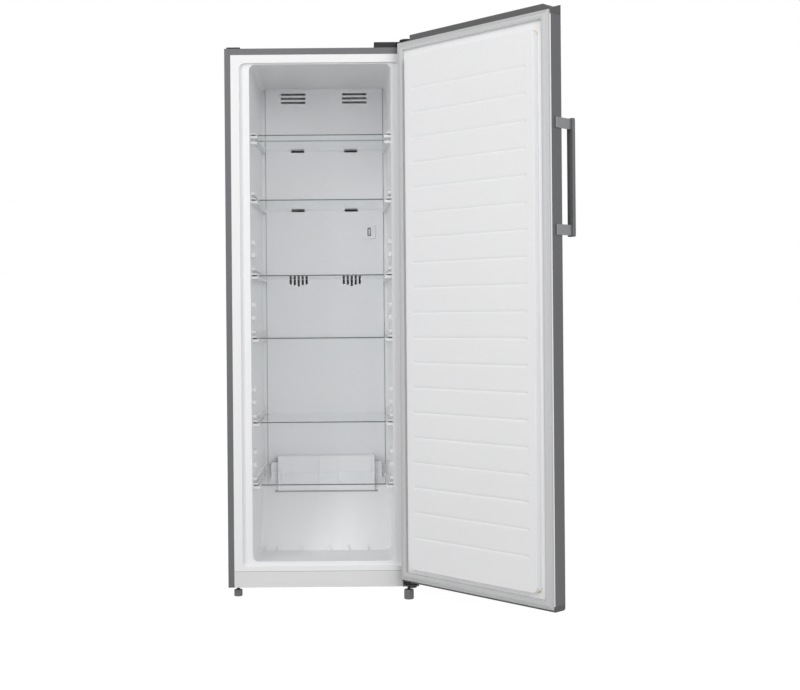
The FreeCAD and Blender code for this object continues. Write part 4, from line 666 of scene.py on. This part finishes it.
def panel_tree():
    labels = ("Half Width", "Low", "High", "Field Half", "Field Low", "Field High", "Rise", "Corner", "Wall",
              "Groove Half", "Groove Low", "Groove High", "Groove Reach", "Groove Depth", "Base")
    sockets = [(label, FLOAT, 0.1) for label in labels]
    sockets += [("Grooves", INTEGER, GROOVES), ("Rows", INTEGER, GROOVE_ROWS), ("Finish", MATERIAL, None)]
    tree, given, out = new_group("moulded_panel", "GeometryNodeTree", sockets, [("Geometry", GEOMETRY)])
    put, run, add, take, times, over = words(tree)
    period_rows = times(given["Grooves"], given["Rows"])
    rows = add(period_rows, 2.0 * MARGIN_ROWS)
    grid = put("GeometryNodeMeshGrid",
               {"Size X": 2.0, "Size Y": 1.0, "Vertices X": COLUMNS + 1, "Vertices Y": add(rows, 1.0)})
    place = put("ShaderNodeSeparateXYZ", {0: put("GeometryNodeInputPosition").outputs[0]})
    # across: few columns in the flat middle, many from the grooves' ends to the foot of the wall
    side = run("SIGN", place.outputs[0])
    out_from_middle = run("ABSOLUTE", place.outputs[0])
    inner = take(given["Groove Half"], times(given["Groove Reach"], 2.0))
    foot = add(given["Field Half"], given["Wall"])
    across = ramp(tree, out_from_middle, [(0.0, FLAT_COLUMNS, inner),
                                          (FLAT_COLUMNS, BENT_COLUMNS, take(foot, inner)),
                                          (BENT_COLUMNS, 1.0, take(given["Half Width"], foot))])
    x = times(side, across)
    # up: a margin below, one even stretch for each groove, and a margin above
    row = times(add(place.outputs[1], 0.5), rows)
    spaces = take(given["Grooves"], 1.0)
    pitch = over(take(given["Groove High"], given["Groove Low"]), spaces)
    zone_low = take(given["Groove Low"], times(pitch, 0.5))
    zone_high = add(given["Groove High"], times(pitch, 0.5))
    foot_low = take(given["Field Low"], given["Wall"])
    foot_high = add(given["Field High"], given["Wall"])
    dense = times(given["Wall"], WALLS)
    low_row = over(row, MARGIN_ROWS)
    high_row = over(take(rows, row), MARGIN_ROWS)

    def margin(count, rim, foot_line, zone):
        """Stretches from the sheet's rim to the first groove's zone, as one rising length."""
        flat = run("ABSOLUTE", take(foot_line, rim))
        rest = take(run("ABSOLUTE", take(zone, foot_line)), dense)
        knots = [(0.0, RIM_ROWS, flat), (RIM_ROWS, WALL_ROWS, dense), (WALL_ROWS, 1.0, rest)]
        return ramp(tree, count, knots)

    in_zone = over(take(row, MARGIN_ROWS), given["Rows"])
    number = run("MINIMUM", run("MAXIMUM", run("FLOOR", in_zone), 0.0), spaces)
    turn = take(times(take(in_zone, number), 2.0), 1.0)
    squeezed = times(run("SIGN", turn), run("POWER", run("ABSOLUTE", turn), GATHER))
    half_turn = add(times(squeezed, 0.5), 0.5)
    z_zone = add(zone_low, times(add(number, half_turn), pitch))
    z_low = add(given["Low"], margin(low_row, given["Low"], foot_low, zone_low))
    z_high = take(given["High"], margin(high_row, given["High"], foot_high, zone_high))
    below = run("LESS_THAN", row, MARGIN_ROWS)
    above = run("GREATER_THAN", row, take(rows, MARGIN_ROWS))
    between = take(take(1.0, below), above)
    z = add(times(below, z_low), add(times(above, z_high), times(between, z_zone)))
    # height: distance to the rounded rectangle, then to the nearest groove line
    middle = times(add(given["Field Low"], given["Field High"]), 0.5)
    half_height = take(given["Field High"], middle)
    reach_x = add(take(run("ABSOLUTE", x), foot), given["Corner"])
    off_middle = run("ABSOLUTE", take(z, middle))
    tall = add(half_height, given["Wall"])
    reach_z = add(take(off_middle, tall), given["Corner"])
    past_x = run("MAXIMUM", reach_x, 0.0)
    past_z = run("MAXIMUM", reach_z, 0.0)
    round_part = run("SQRT", add(times(past_x, past_x), times(past_z, past_z)))
    inside = run("MINIMUM", run("MAXIMUM", reach_x, reach_z), 0.0)
    distance = take(given["Corner"], add(round_part, inside))
    lifted = times(smooth(tree, distance, 0.0, given["Wall"]), given["Rise"])
    line = run("ROUND", over(take(z, given["Groove Low"]), pitch))
    line = run("MINIMUM", run("MAXIMUM", line, 0.0), spaces)
    line_z = add(given["Groove Low"], times(line, pitch))
    off_line = take(z, line_z)
    past_end = run("MAXIMUM", take(run("ABSOLUTE", x), given["Groove Half"]), 0.0)
    to_line = run("SQRT", add(times(off_line, off_line), times(past_end, past_end)))
    hollow = put("ShaderNodeMapRange", {0: to_line, 1: 0.0, 2: given["Groove Reach"], 3: 1.0, 4: 0.0},
                 interpolation_type="SMOOTHSTEP")
    sunk = times(hollow.outputs[0], given["Groove Depth"])
    y = add(given["Base"], take(lifted, sunk))
    goal = put("ShaderNodeCombineXYZ", {0: x, 1: y, 2: z})
    moved = put("GeometryNodeSetPosition", {"Geometry": grid.outputs["Mesh"], "Position": goal.outputs[0]})
    faced = put("GeometryNodeFlipFaces", {0: moved.outputs[0]})
    return hand_out(tree, out, faced.outputs[0], given["Finish"])


WALL_RUN = 3.5 * MM
WALL_CORNER = 20 * MM
GROOVE_REACH = 5.5 * MM
panel = grow_piece("door_inner_panel", panel_tree(), {
    "Half Width": PANEL_HIGH.x, "Low": PANEL_LOW.z, "High": PANEL_HIGH.z, "Field Half": FIELD_HALF,
    "Field Low": FIELD_LOW, "Field High": FIELD_HIGH, "Rise": PANEL_HIGH.y - FRONT - DOOR_BACK,
    "Corner": WALL_CORNER, "Wall": WALL_RUN,
    "Groove Half": GROOVE_HALF, "Groove Low": GROOVE_LOW, "Groove High": GROOVE_HIGH,
    "Groove Reach": GROOVE_REACH, "Groove Depth": GROOVE_DEEP, "Base": FRONT + DOOR_BACK, "Grooves": GROOVES,
    "Finish": FINISHES["liner_white"]})
shade(to_open(panel), math.radians(70))
settle(panel, "door", "liner_white", "door_liner")
print("inner panel:", len(panel.data.polygons), "faces")

# %% [markdown]
# ## The gasket
# A door gasket is an extruded strip, cut at 45 degrees and welded at the corners. Its section runs from a
# low pleated root at the door's edge up to a soft magnet tube. The frame is drawn as one rectangle for
# each point of the section, joined to the next.

# %% Gasket
GASKET_LOW, GASKET_HIGH = closed_box("door_gasket")
GASKET_WIDE = 24.0 * MM
ROOT_WIDE = 0.42                # share of the strip's width that the pleated root has
PLEATS = 3
ROOT_RISE, PLEAT_RISE, TUBE_RISE = 0.40, 0.07, 0.20
TUBE_ROUND = 0.6


def gasket_height(run):
    """Height over the door panel, in parts of the full height, at run parts across the strip."""
    root = ROOT_RISE + ROOT_RISE * min(run / ROOT_WIDE, 1.0)
    pleat = PLEAT_RISE * math.cos(2 * math.pi * PLEATS * run / ROOT_WIDE) if run < ROOT_WIDE else 0.0
    bulge = max(math.sin(math.pi * (run - ROOT_WIDE) / (1 - ROOT_WIDE)), 0.0)
    return root + pleat + (TUBE_RISE * bulge ** TUBE_ROUND if run > ROOT_WIDE else 0.0)


def gasket_section(width, height, steps=48):
    points = [(0.0, 0.0)]
    for step in range(steps + 1):
        run = step / steps
        points.append((run * width, gasket_height(run) * height))
    points.append((width, 0.0))
    return points


def frame_ring(low, high, inwards, height):
    """The frame's four corners, that far inwards from its outline and at that height over its base."""
    x0, x1 = low.x + inwards, high.x - inwards
    z0, z1 = low.z + inwards, high.z - inwards
    return [(x, low.y + height, z) for x, z in ((x0, z0), (x1, z0), (x1, z1), (x0, z1))]


section = gasket_section(GASKET_WIDE, GASKET_HIGH.y - GASKET_LOW.y)
gasket = skin("door_seal", [frame_ring(GASKET_LOW, GASKET_HIGH, *point) for point in section], closed=True)
shade(to_open(gasket))
settle(gasket, "door", "gasket_grey", "door_gasket")
print("gasket:", len(gasket.data.polygons), "faces")

# %% [markdown]
# ## Levelling feet
# Each foot is a moulded disc with grip flutes round it, on a threaded stem. Both shapes are rules on a
# plain cylinder: the disc's radius falls and rises with the angle, and the stem's with the angle and the
# height together, which makes a thread.


# %% Feet by rule
GRIP = ((0.14, 0.24), (0.94, 0.86))    # heights between which the flutes begin and end, below and above
LEAD_IN = (0.07, 0.07)                 # height and depth of the rounding at the disc's foot
LEAD_OUT = (0.92, 0.10)                # the same at its top
THREAD = (0.955, 0.045)                # the stem's mean radius and the thread's half depth
DISC_RINGS = 14
STEM_RINGS = 180
STEM_R = 5 * MM
BEYOND_STEM = 0.7                      # share of the disc's radius that only the disc reaches
FOOT_GREY = finish("foot_grey", (0.150, 0.151, 0.153), 0.45, 0.0, (900.0, 0.2), EVEN, 0.15)


def foot_tree():
    sockets = [("Radius", FLOAT, 0.013), ("Height", FLOAT, 0.02), ("Stem", FLOAT, 0.005),
               ("Stem Height", FLOAT, 0.04), ("Pitch", FLOAT, 0.0015), ("Flutes", INTEGER, 18),
               ("Depth", FLOAT, 0.0011), ("Place", VECTOR, None), ("Disc Finish", MATERIAL, None),
               ("Stem Finish", MATERIAL, None)]
    tree, given, out = new_group("levelling_foot", "GeometryNodeTree", sockets, [("Geometry", GEOMETRY)])
    put, run, add, take, times, over = words(tree)

    def turned(radius, height, around, rings, low, radius_rule, material):
        """A capped cylinder from low up by height, with its radius changed by a rule of angle and height."""
        tube, at, up = unit_cylinder(tree, around, rings)
        angle = run("ARCTAN2", at.outputs[1], at.outputs[0])
        wide = times(radius, radius_rule(angle, up))
        moved = turned_shape(tree, tube, at, wide, add(times(up, height), low))
        return put("GeometryNodeSetMaterial", {"Geometry": moved.outputs[0], "Material": material})

    def fluted(angle, up):
        wave = run("COSINE", times(angle, given["Flutes"]))
        dip = times(take(1.0, wave), 0.5)
        grip = times(smooth(tree, up, *GRIP[0]), smooth(tree, up, *GRIP[1]))
        cut_in = times(times(dip, grip), over(given["Depth"], given["Radius"]))
        lead_in = times(take(1.0, smooth(tree, up, 0.0, LEAD_IN[0])), LEAD_IN[1])
        lead_out = times(smooth(tree, up, LEAD_OUT[0], 1.0), LEAD_OUT[1])
        return take(take(take(1.0, cut_in), lead_in), lead_out)

    def threaded(angle, up):
        climb = over(times(up, given["Stem Height"]), given["Pitch"])
        wave = run("COSINE", take(times(climb, 2 * math.pi), angle))
        return take(THREAD[0], times(wave, -THREAD[1]))

    disc = turned(given["Radius"], given["Height"], times(given["Flutes"], 8.0), DISC_RINGS, 0.0, fluted,
                  given["Disc Finish"])
    stem = turned(given["Stem"], given["Stem Height"], 32, STEM_RINGS, given["Height"], threaded,
                  given["Stem Finish"])
    both = put("GeometryNodeJoinGeometry")
    tree.links.new(stem.outputs[0], both.inputs[0])
    tree.links.new(disc.outputs[0], both.inputs[0])
    placed = put("GeometryNodeTransform", {"Geometry": both.outputs[0], "Translation": given["Place"]})
    return hand_out(tree, out, placed.outputs[0])


FOOT_TREE = foot_tree()


def disc_height(node, low, high, middle):
    """The height of a foot's disc: the highest point that is further out than the stem."""
    return max(vertex.co.z for vertex in NODES[node].data.vertices
               if (vertex.co.xy - middle.xy).length > BEYOND_STEM * (high.x - low.x) / 2)


for node in ("left_foot", "right_foot"):
    low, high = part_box(node)
    middle = (low + high) / 2
    disc = disc_height(node, low, high, middle)
    foot = grow_piece(node + "_turned", FOOT_TREE, {
        "Radius": (high.x - low.x) / 2, "Height": disc, "Stem": STEM_R, "Stem Height": high.z - disc,
        "Place": (middle.x, middle.y, low.z),
        "Disc Finish": FOOT_GREY, "Stem Finish": FINISHES["dark_steel"]})
    shade(foot, math.radians(50))
    settle(foot, node, "black_plastic", node)
    print(node, len(foot.data.polygons), "faces")

# %% [markdown]
# ## Seams, beads and dividers
# Long thin lines make a moulded part read as one: the seal round the duct panel, the pressed beads on it,
# the ribs on the cowl. Each is a line given by its ends. One tree turns any set of lines into round
# beads.


# %% Beads by Geometry Nodes
def bead_tree():
    sockets = [("Geometry", GEOMETRY, None), ("Radius", FLOAT, 0.001), ("Finish", MATERIAL, None)]
    tree, given, out = new_group("bead_along_lines", "GeometryNodeTree", sockets, [("Geometry", GEOMETRY)])
    line = add_node(tree, "GeometryNodeMeshToCurve", {"Mesh": given["Geometry"]})
    ring = add_node(tree, "GeometryNodeCurvePrimitiveCircle", {"Resolution": 12, "Radius": given["Radius"]})
    bead = add_node(tree, "GeometryNodeCurveToMesh",
                    {"Curve": line.outputs[0], "Profile Curve": ring.outputs[0], "Fill Caps": True})
    return hand_out(tree, out, bead.outputs[0], given["Finish"])


BEAD_TREE = bead_tree()


def beads(name, lines, radius, material, body="cabinet", slot="duct_white"):
    """Round beads along lines; each line is a list of points that are joined in turn."""
    points = []
    edges = []
    for line in lines:
        start = len(points)
        points += line
        edges += [(start + step, start + step + 1) for step in range(len(line) - 1)]
    mesh = bpy.data.meshes.new(name)
    mesh.from_pydata(points, edges, [])
    piece = grow_piece(name, BEAD_TREE, {"Radius": radius, "Finish": material}, mesh)
    shade(piece)
    return settle(piece, body, slot)


# %% Duct panel and cowl lines
SEAL_GREY = finish("seal_grey", (0.42, 0.43, 0.44), 0.6, 0.0, (700.0, 0.1))
DUCT_LOW, DUCT_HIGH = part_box("air_duct_panel")
COWL_LOW, COWL_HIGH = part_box("return_air_cowl")
SENSOR_LOW, SENSOR_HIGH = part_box("sensor_cover")
SEAM_R = 1.0 * MM
SEAL_BACK = 4.4 * MM            # the seal behind the duct panel's front
seal_x = DUCT_HIGH.x + SEAM_R * 0.7
seal_y = DUCT_LOW.y + SEAL_BACK
seal_line = [(-seal_x, seal_y, DUCT_LOW.z), (-seal_x, seal_y, DUCT_HIGH.z - SEAM_R),
             (seal_x, seal_y, DUCT_HIGH.z - SEAM_R), (seal_x, seal_y, DUCT_LOW.z)]
beads("duct_panel_seal", [seal_line[:2], seal_line[2:]], SEAM_R, SEAL_GREY)

COVE_R = 11 * MM
COVE_AHEAD = 0.1 * MM           # the cove's foot in front of the duct panel
COVE_OVER = 0.6 * MM            # its top over the panel's top
COVE_BEHIND = 3 * MM            # how far the corner behind it reaches in


def cove_section(steps=8):
    """The hollow curve between the ceiling and the duct panel, with the corner behind it."""
    curve = []
    for step in range(steps + 1):
        angle = math.pi / 2 * step / steps
        curve.append((DUCT_LOW.y - COVE_R * (1 - math.sin(angle)) - COVE_AHEAD,
                      DUCT_HIGH.z + COVE_OVER - COVE_R * (1 - math.cos(angle))))
    behind = DUCT_LOW.y + COVE_BEHIND
    return curve + [(behind, DUCT_HIGH.z - COVE_R), (behind, DUCT_HIGH.z + COVE_OVER + COVE_AHEAD)]


cove_ends = [[(x, y, z) for y, z in cove_section()] for x in (-DUCT_HIGH.x, DUCT_HIGH.x)]
cove = skin("duct_top_cove", cove_ends)
shade(cove)
settle(cove, "cabinet", "duct_white")


def shelf_height(number):
    low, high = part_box("shelf_%d" % number)
    return (low.z + high.z) / 2


BEAD_DEEP = 0.35 * MM           # how far a pressed bead stands in front of the panel
PRESSED_R = 1.1 * MM
MID_LINE_HALF = 66 * MM
MID_LINE_RISES = {1: -3.5 * MM, 2: -2.5 * MM}
LOW_LINE = (-50 * MM, 115 * MM)
LOW_LINE_DROP = 52 * MM
bead_y = DUCT_LOW.y + PRESSED_R - BEAD_DEEP
pressed = [[(side * MID_LINE_HALF, bead_y, shelf_height(number) + rise) for side in (-1, 1)]
           for number, rise in MID_LINE_RISES.items()]
pressed.append([(x, bead_y, shelf_height(3) - LOW_LINE_DROP) for x in LOW_LINE])
beads("duct_pressed_lines", pressed, PRESSED_R, FINISHES["duct_white"])

COWL_MARGIN = 13 * MM
COWL_BEAD_R = 1.6 * MM
COWL_BEAD_SUNK = 1.2 * MM
COWL_BEAD_END = 4 * MM
COWL_SHOULDER = 37.5 * MM       # from the duct panel's side to the side of the cowl's front
cowl_half = DUCT_HIGH.x - COWL_SHOULDER
cowl_ends = (COWL_LOW.z + COWL_BEAD_END, COWL_HIGH.z - COWL_BEAD_END)
cowl_lines = [[(x, COWL_LOW.y + COWL_BEAD_SUNK, z) for z in cowl_ends]
              for x in (-cowl_half + COWL_MARGIN, -COWL_MARGIN * 2, COWL_MARGIN * 3, cowl_half - COWL_MARGIN)]
beads("cowl_ribs", cowl_lines, COWL_BEAD_R, FINISHES["duct_white"])
# The grey bead under the cowl's lower lip is partly the dark air intake gap and partly painted shadow. It stands
# for the soft shadow that the cowl casts below its lip.
INTAKE_PAINTED_SHADOW = finish("intake_painted_shadow", (0.46, 0.465, 0.48), 0.7, 0.0, (700.0, 0.1))
INTAKE_SHADOW_R = 4 * MM
INTAKE_SHADOW_BACK = 7 * MM            # the shaded slot behind the cowl's lower lip
intake_shadow_half = COWL_HIGH.x - 2 * INTAKE_SHADOW_BACK
intake_shadow_line = [(side * intake_shadow_half, COWL_LOW.y + INTAKE_SHADOW_BACK, COWL_LOW.z - 0.8 * INTAKE_SHADOW_R) for side in (-1, 1)]
beads("cowl_intake_painted_shadow", [intake_shadow_line], INTAKE_SHADOW_R, INTAKE_PAINTED_SHADOW)

KICK_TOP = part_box("kick_panel")[1].z
SEAM_DARK = finish("seam_dark", (0.20, 0.20, 0.205), 0.6, 0.0, (700.0, 0.1))
KICK_SEAM_R = 0.55 * MM
KICK_SEAM_SUNK = 0.3 * MM
KICK_SEAM_END = 0.5 * MM
seam_half = -SIDE_HIGH.x - KICK_SEAM_END
seam = [(side * seam_half, FRONT + KICK_SEAM_SUNK, KICK_TOP) for side in (1, -1)]
beads("kick_panel_seam", [seam], KICK_SEAM_R, SEAM_DARK, slot="liner_white")

# The black ring round the sensor cover's slot is painted shade: it darkens the slot's edge as the shade inside the
# recess would.
SLOT_HALF = 5 * MM
SLOT_TALL = 13 * MM
SLOT_SHADE_R = 1.0 * MM
SLOT_SHADE_STEPS = 24
sensor = (SENSOR_LOW + SENSOR_HIGH) / 2
rim = []
for step in range(SLOT_SHADE_STEPS + 1):
    angle = 2 * math.pi * step / SLOT_SHADE_STEPS
    up = SLOT_HALF * math.sin(angle) + math.copysign(SLOT_TALL - SLOT_HALF, math.sin(angle))
    rim.append((sensor.x + SLOT_HALF * math.cos(angle), SENSOR_LOW.y + SLOT_SHADE_R / 2, sensor.z + up))
beads("sensor_slot_painted_shade", [rim + rim[:1]], SLOT_SHADE_R, FINISHES["black_plastic"], slot="black_plastic")
print("cowl half width", round(cowl_half / MM, 1), "mm")

# %% [markdown]
# ## Screws
# Every screw on the freezer is a washer-head screw with a cross recess. One head is made once, with the
# recess cut by a boolean, and put on each place that the solids give, turned to face the way that screw
# faces.


# %% Screw heads by Geometry Nodes
WASHER = (0.28, 0.42, 0.26)     # from and to which height the washer ends, and by how much
DOME = (0.45, 1.15, 1.6, 0.75)  # the same for the dome, with its roundness
CROSS = (0.95, 0.22)            # sides of a bar of the recess, in radii
RIM_FROM = 0.8                  # share of a head's radius where its rim begins


def screw_tree():
    sockets = [("Geometry", GEOMETRY, None), ("Radius", FLOAT, 0.005), ("Height", FLOAT, 0.003),
               ("Recess", FLOAT, 0.0016), ("Finish", MATERIAL, None)]
    tree, given, out = new_group("screw_heads", "GeometryNodeTree", sockets, [("Geometry", GEOMETRY)])
    put, run, _, take, times, _ = words(tree)
    head, at, up = unit_cylinder(tree, 32, 8)
    washer = times(smooth(tree, up, WASHER[0], WASHER[1]), WASHER[2])
    dome = times(run("POWER", smooth(tree, up, DOME[0], DOME[1]), DOME[2]), DOME[3])
    wide = times(take(take(1.0, washer), dome), given["Radius"])
    shaped = turned_shape(tree, head, at, wide, times(up, given["Height"]))
    long_side, short_side = [times(given["Radius"], share) for share in CROSS]
    tall = times(given["Recess"], 2.0)
    recessed = put("GeometryNodeMeshBoolean", {0: shaped.outputs[0]}, operation="DIFFERENCE")
    lift = put("ShaderNodeCombineXYZ", {2: given["Height"]})
    for sides in ((long_side, short_side), (short_side, long_side)):
        size = put("ShaderNodeCombineXYZ", {0: sides[0], 1: sides[1], 2: tall})
        bar = put("GeometryNodeMeshCube", {"Size": size.outputs[0]})
        raised_bar = put("GeometryNodeTransform",
                         {"Geometry": bar.outputs["Mesh"], "Translation": lift.outputs[0]})
        tree.links.new(raised_bar.outputs[0], recessed.inputs[1])
    aim = put("GeometryNodeInputNamedAttribute", {"Name": "aim"}, data_type="FLOAT_VECTOR")
    turn = put("FunctionNodeAlignRotationToVector", {"Vector": aim.outputs[0]}, axis="Z")
    spread = put("GeometryNodeInstanceOnPoints",
                 {"Points": given["Geometry"], "Instance": recessed.outputs[0], "Rotation": turn.outputs[0]})
    return hand_out(tree, out, spread.outputs[0], given["Finish"])


SCREW_TREE = screw_tree()
SCREW_RECESS = 1.5 * MM


def screw_places(node):
    """Each screw's head: its middle, the way it faces, its radius and its height, read from the solid."""
    work = bmesh.new()
    work.from_mesh(NODES[node].data)
    bmesh.ops.remove_doubles(work, verts=work.verts, dist=WELD)
    work.verts.index_update()
    found = []
    seen_points = set()
    for first in work.verts:
        if first.index in seen_points:
            continue
        seen_points.add(first.index)
        island = [first]
        for vertex in island:
            for edge in vertex.link_edges:
                other = edge.other_vert(vertex)
                if other.index not in seen_points:
                    seen_points.add(other.index)
                    island.append(other)
        low, high = span([vertex.co for vertex in island])
        along = max(range(3), key=lambda axis: high[axis] - low[axis])
        middle = (low + high) / 2
        radius = (high[(along + 1) % 3] - low[(along + 1) % 3]) / 2
        rim = []
        for vertex in island:
            off = vertex.co - middle
            off[along] = 0
            if off.length > RIM_FROM * radius:
                rim.append(vertex.co[along])
        forward = 1 if high[along] - max(rim) < min(rim) - low[along] else -1
        middle[along] = min(rim) if forward > 0 else max(rim)
        way = Vector((0, 0, 0))
        way[along] = forward
        found.append((middle, way, radius, max(rim) - min(rim)))
    work.free()
    return found


def screws(name, places, slot, recess, *nodes):
    """Heads on the given places, as one piece."""
    mesh = bpy.data.meshes.new(name)
    mesh.from_pydata([place[0] for place in places], [], [])
    aim = mesh.attributes.new("aim", "FLOAT_VECTOR", "POINT")
    for row, place in zip(aim.data, places):
        row.vector = place[1]
    piece = grow_piece(name, SCREW_TREE, {"Radius": places[0][2], "Height": places[0][3], "Recess": recess,
                                          "Finish": FINISHES["zinc_steel"]}, mesh)
    shade(piece)
    return settle(piece, "cabinet", slot, *nodes)


for node in ("hinge_screws", "rear_cover_screws"):
    heads = screw_places(node)
    screws(node + "_heads", heads, SLOT_OF[node], SCREW_RECESS, node)
    print(node, len(heads), "screws of radius", round(heads[0][2] / MM, 1))

# %% [markdown]
# ## The back
# The steel back of a freezer is thin, so it is pressed with a raised frame and ribs, and a row of small
# screws holds it along each side.

# %% Back panel beads and screws
BACK_LOW, BACK_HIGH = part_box("back_panel")
BACK_BEAD_R = 8.0 * MM
BACK_BEAD_RISE = 2.0 * MM
RIB_SIDE = 60 * MM
RIB_END = 70 * MM
RIB_SPREAD = 0.51               # of the outer ribs, in half widths of the frame
BACK_SCREWS = 6
BACK_SCREW_R, BACK_SCREW_TALL, BACK_SCREW_RECESS = 3.6 * MM, 1.8 * MM, 0.9 * MM
SCREW_MARGIN = 14 * MM
back_y = BACK_HIGH.y - BACK_BEAD_R + BACK_BEAD_RISE
rib_x = BACK_HIGH.x - RIB_SIDE
rib_low = BACK_LOW.z + RIB_END
rib_high = BACK_HIGH.z - RIB_END
corners = ((-rib_x, rib_low), (rib_x, rib_low), (rib_x, rib_high), (-rib_x, rib_high), (-rib_x, rib_low))
ribs = [[(x, back_y, z) for x, z in corners]]
ribs += [[(x, back_y, rib_low + RIB_END), (x, back_y, rib_high - RIB_END)]
         for x in (-RIB_SPREAD * rib_x, 0.0, RIB_SPREAD * rib_x)]
beads("back_panel_ribs", ribs, BACK_BEAD_R, FINISHES[SLOT_OF["back_panel"]], slot=SLOT_OF["back_panel"])
screw_x = BACK_HIGH.x - SCREW_MARGIN
screw_rise = (BACK_HIGH.z - BACK_LOW.z - 2 * RIB_SIDE) / (BACK_SCREWS - 1)
back_screws = []
for side in (-1, 1):
    for number in range(BACK_SCREWS):
        place = Vector((side * screw_x, BACK_HIGH.y, BACK_LOW.z + RIB_SIDE + number * screw_rise))
        back_screws.append((place, Vector((0, 1, 0)), BACK_SCREW_R, BACK_SCREW_TALL))
screws("back_panel_screws", back_screws, "zinc_steel", BACK_SCREW_RECESS)
print("back panel:", len(ribs), "pressed lines,", len(back_screws), "screws")
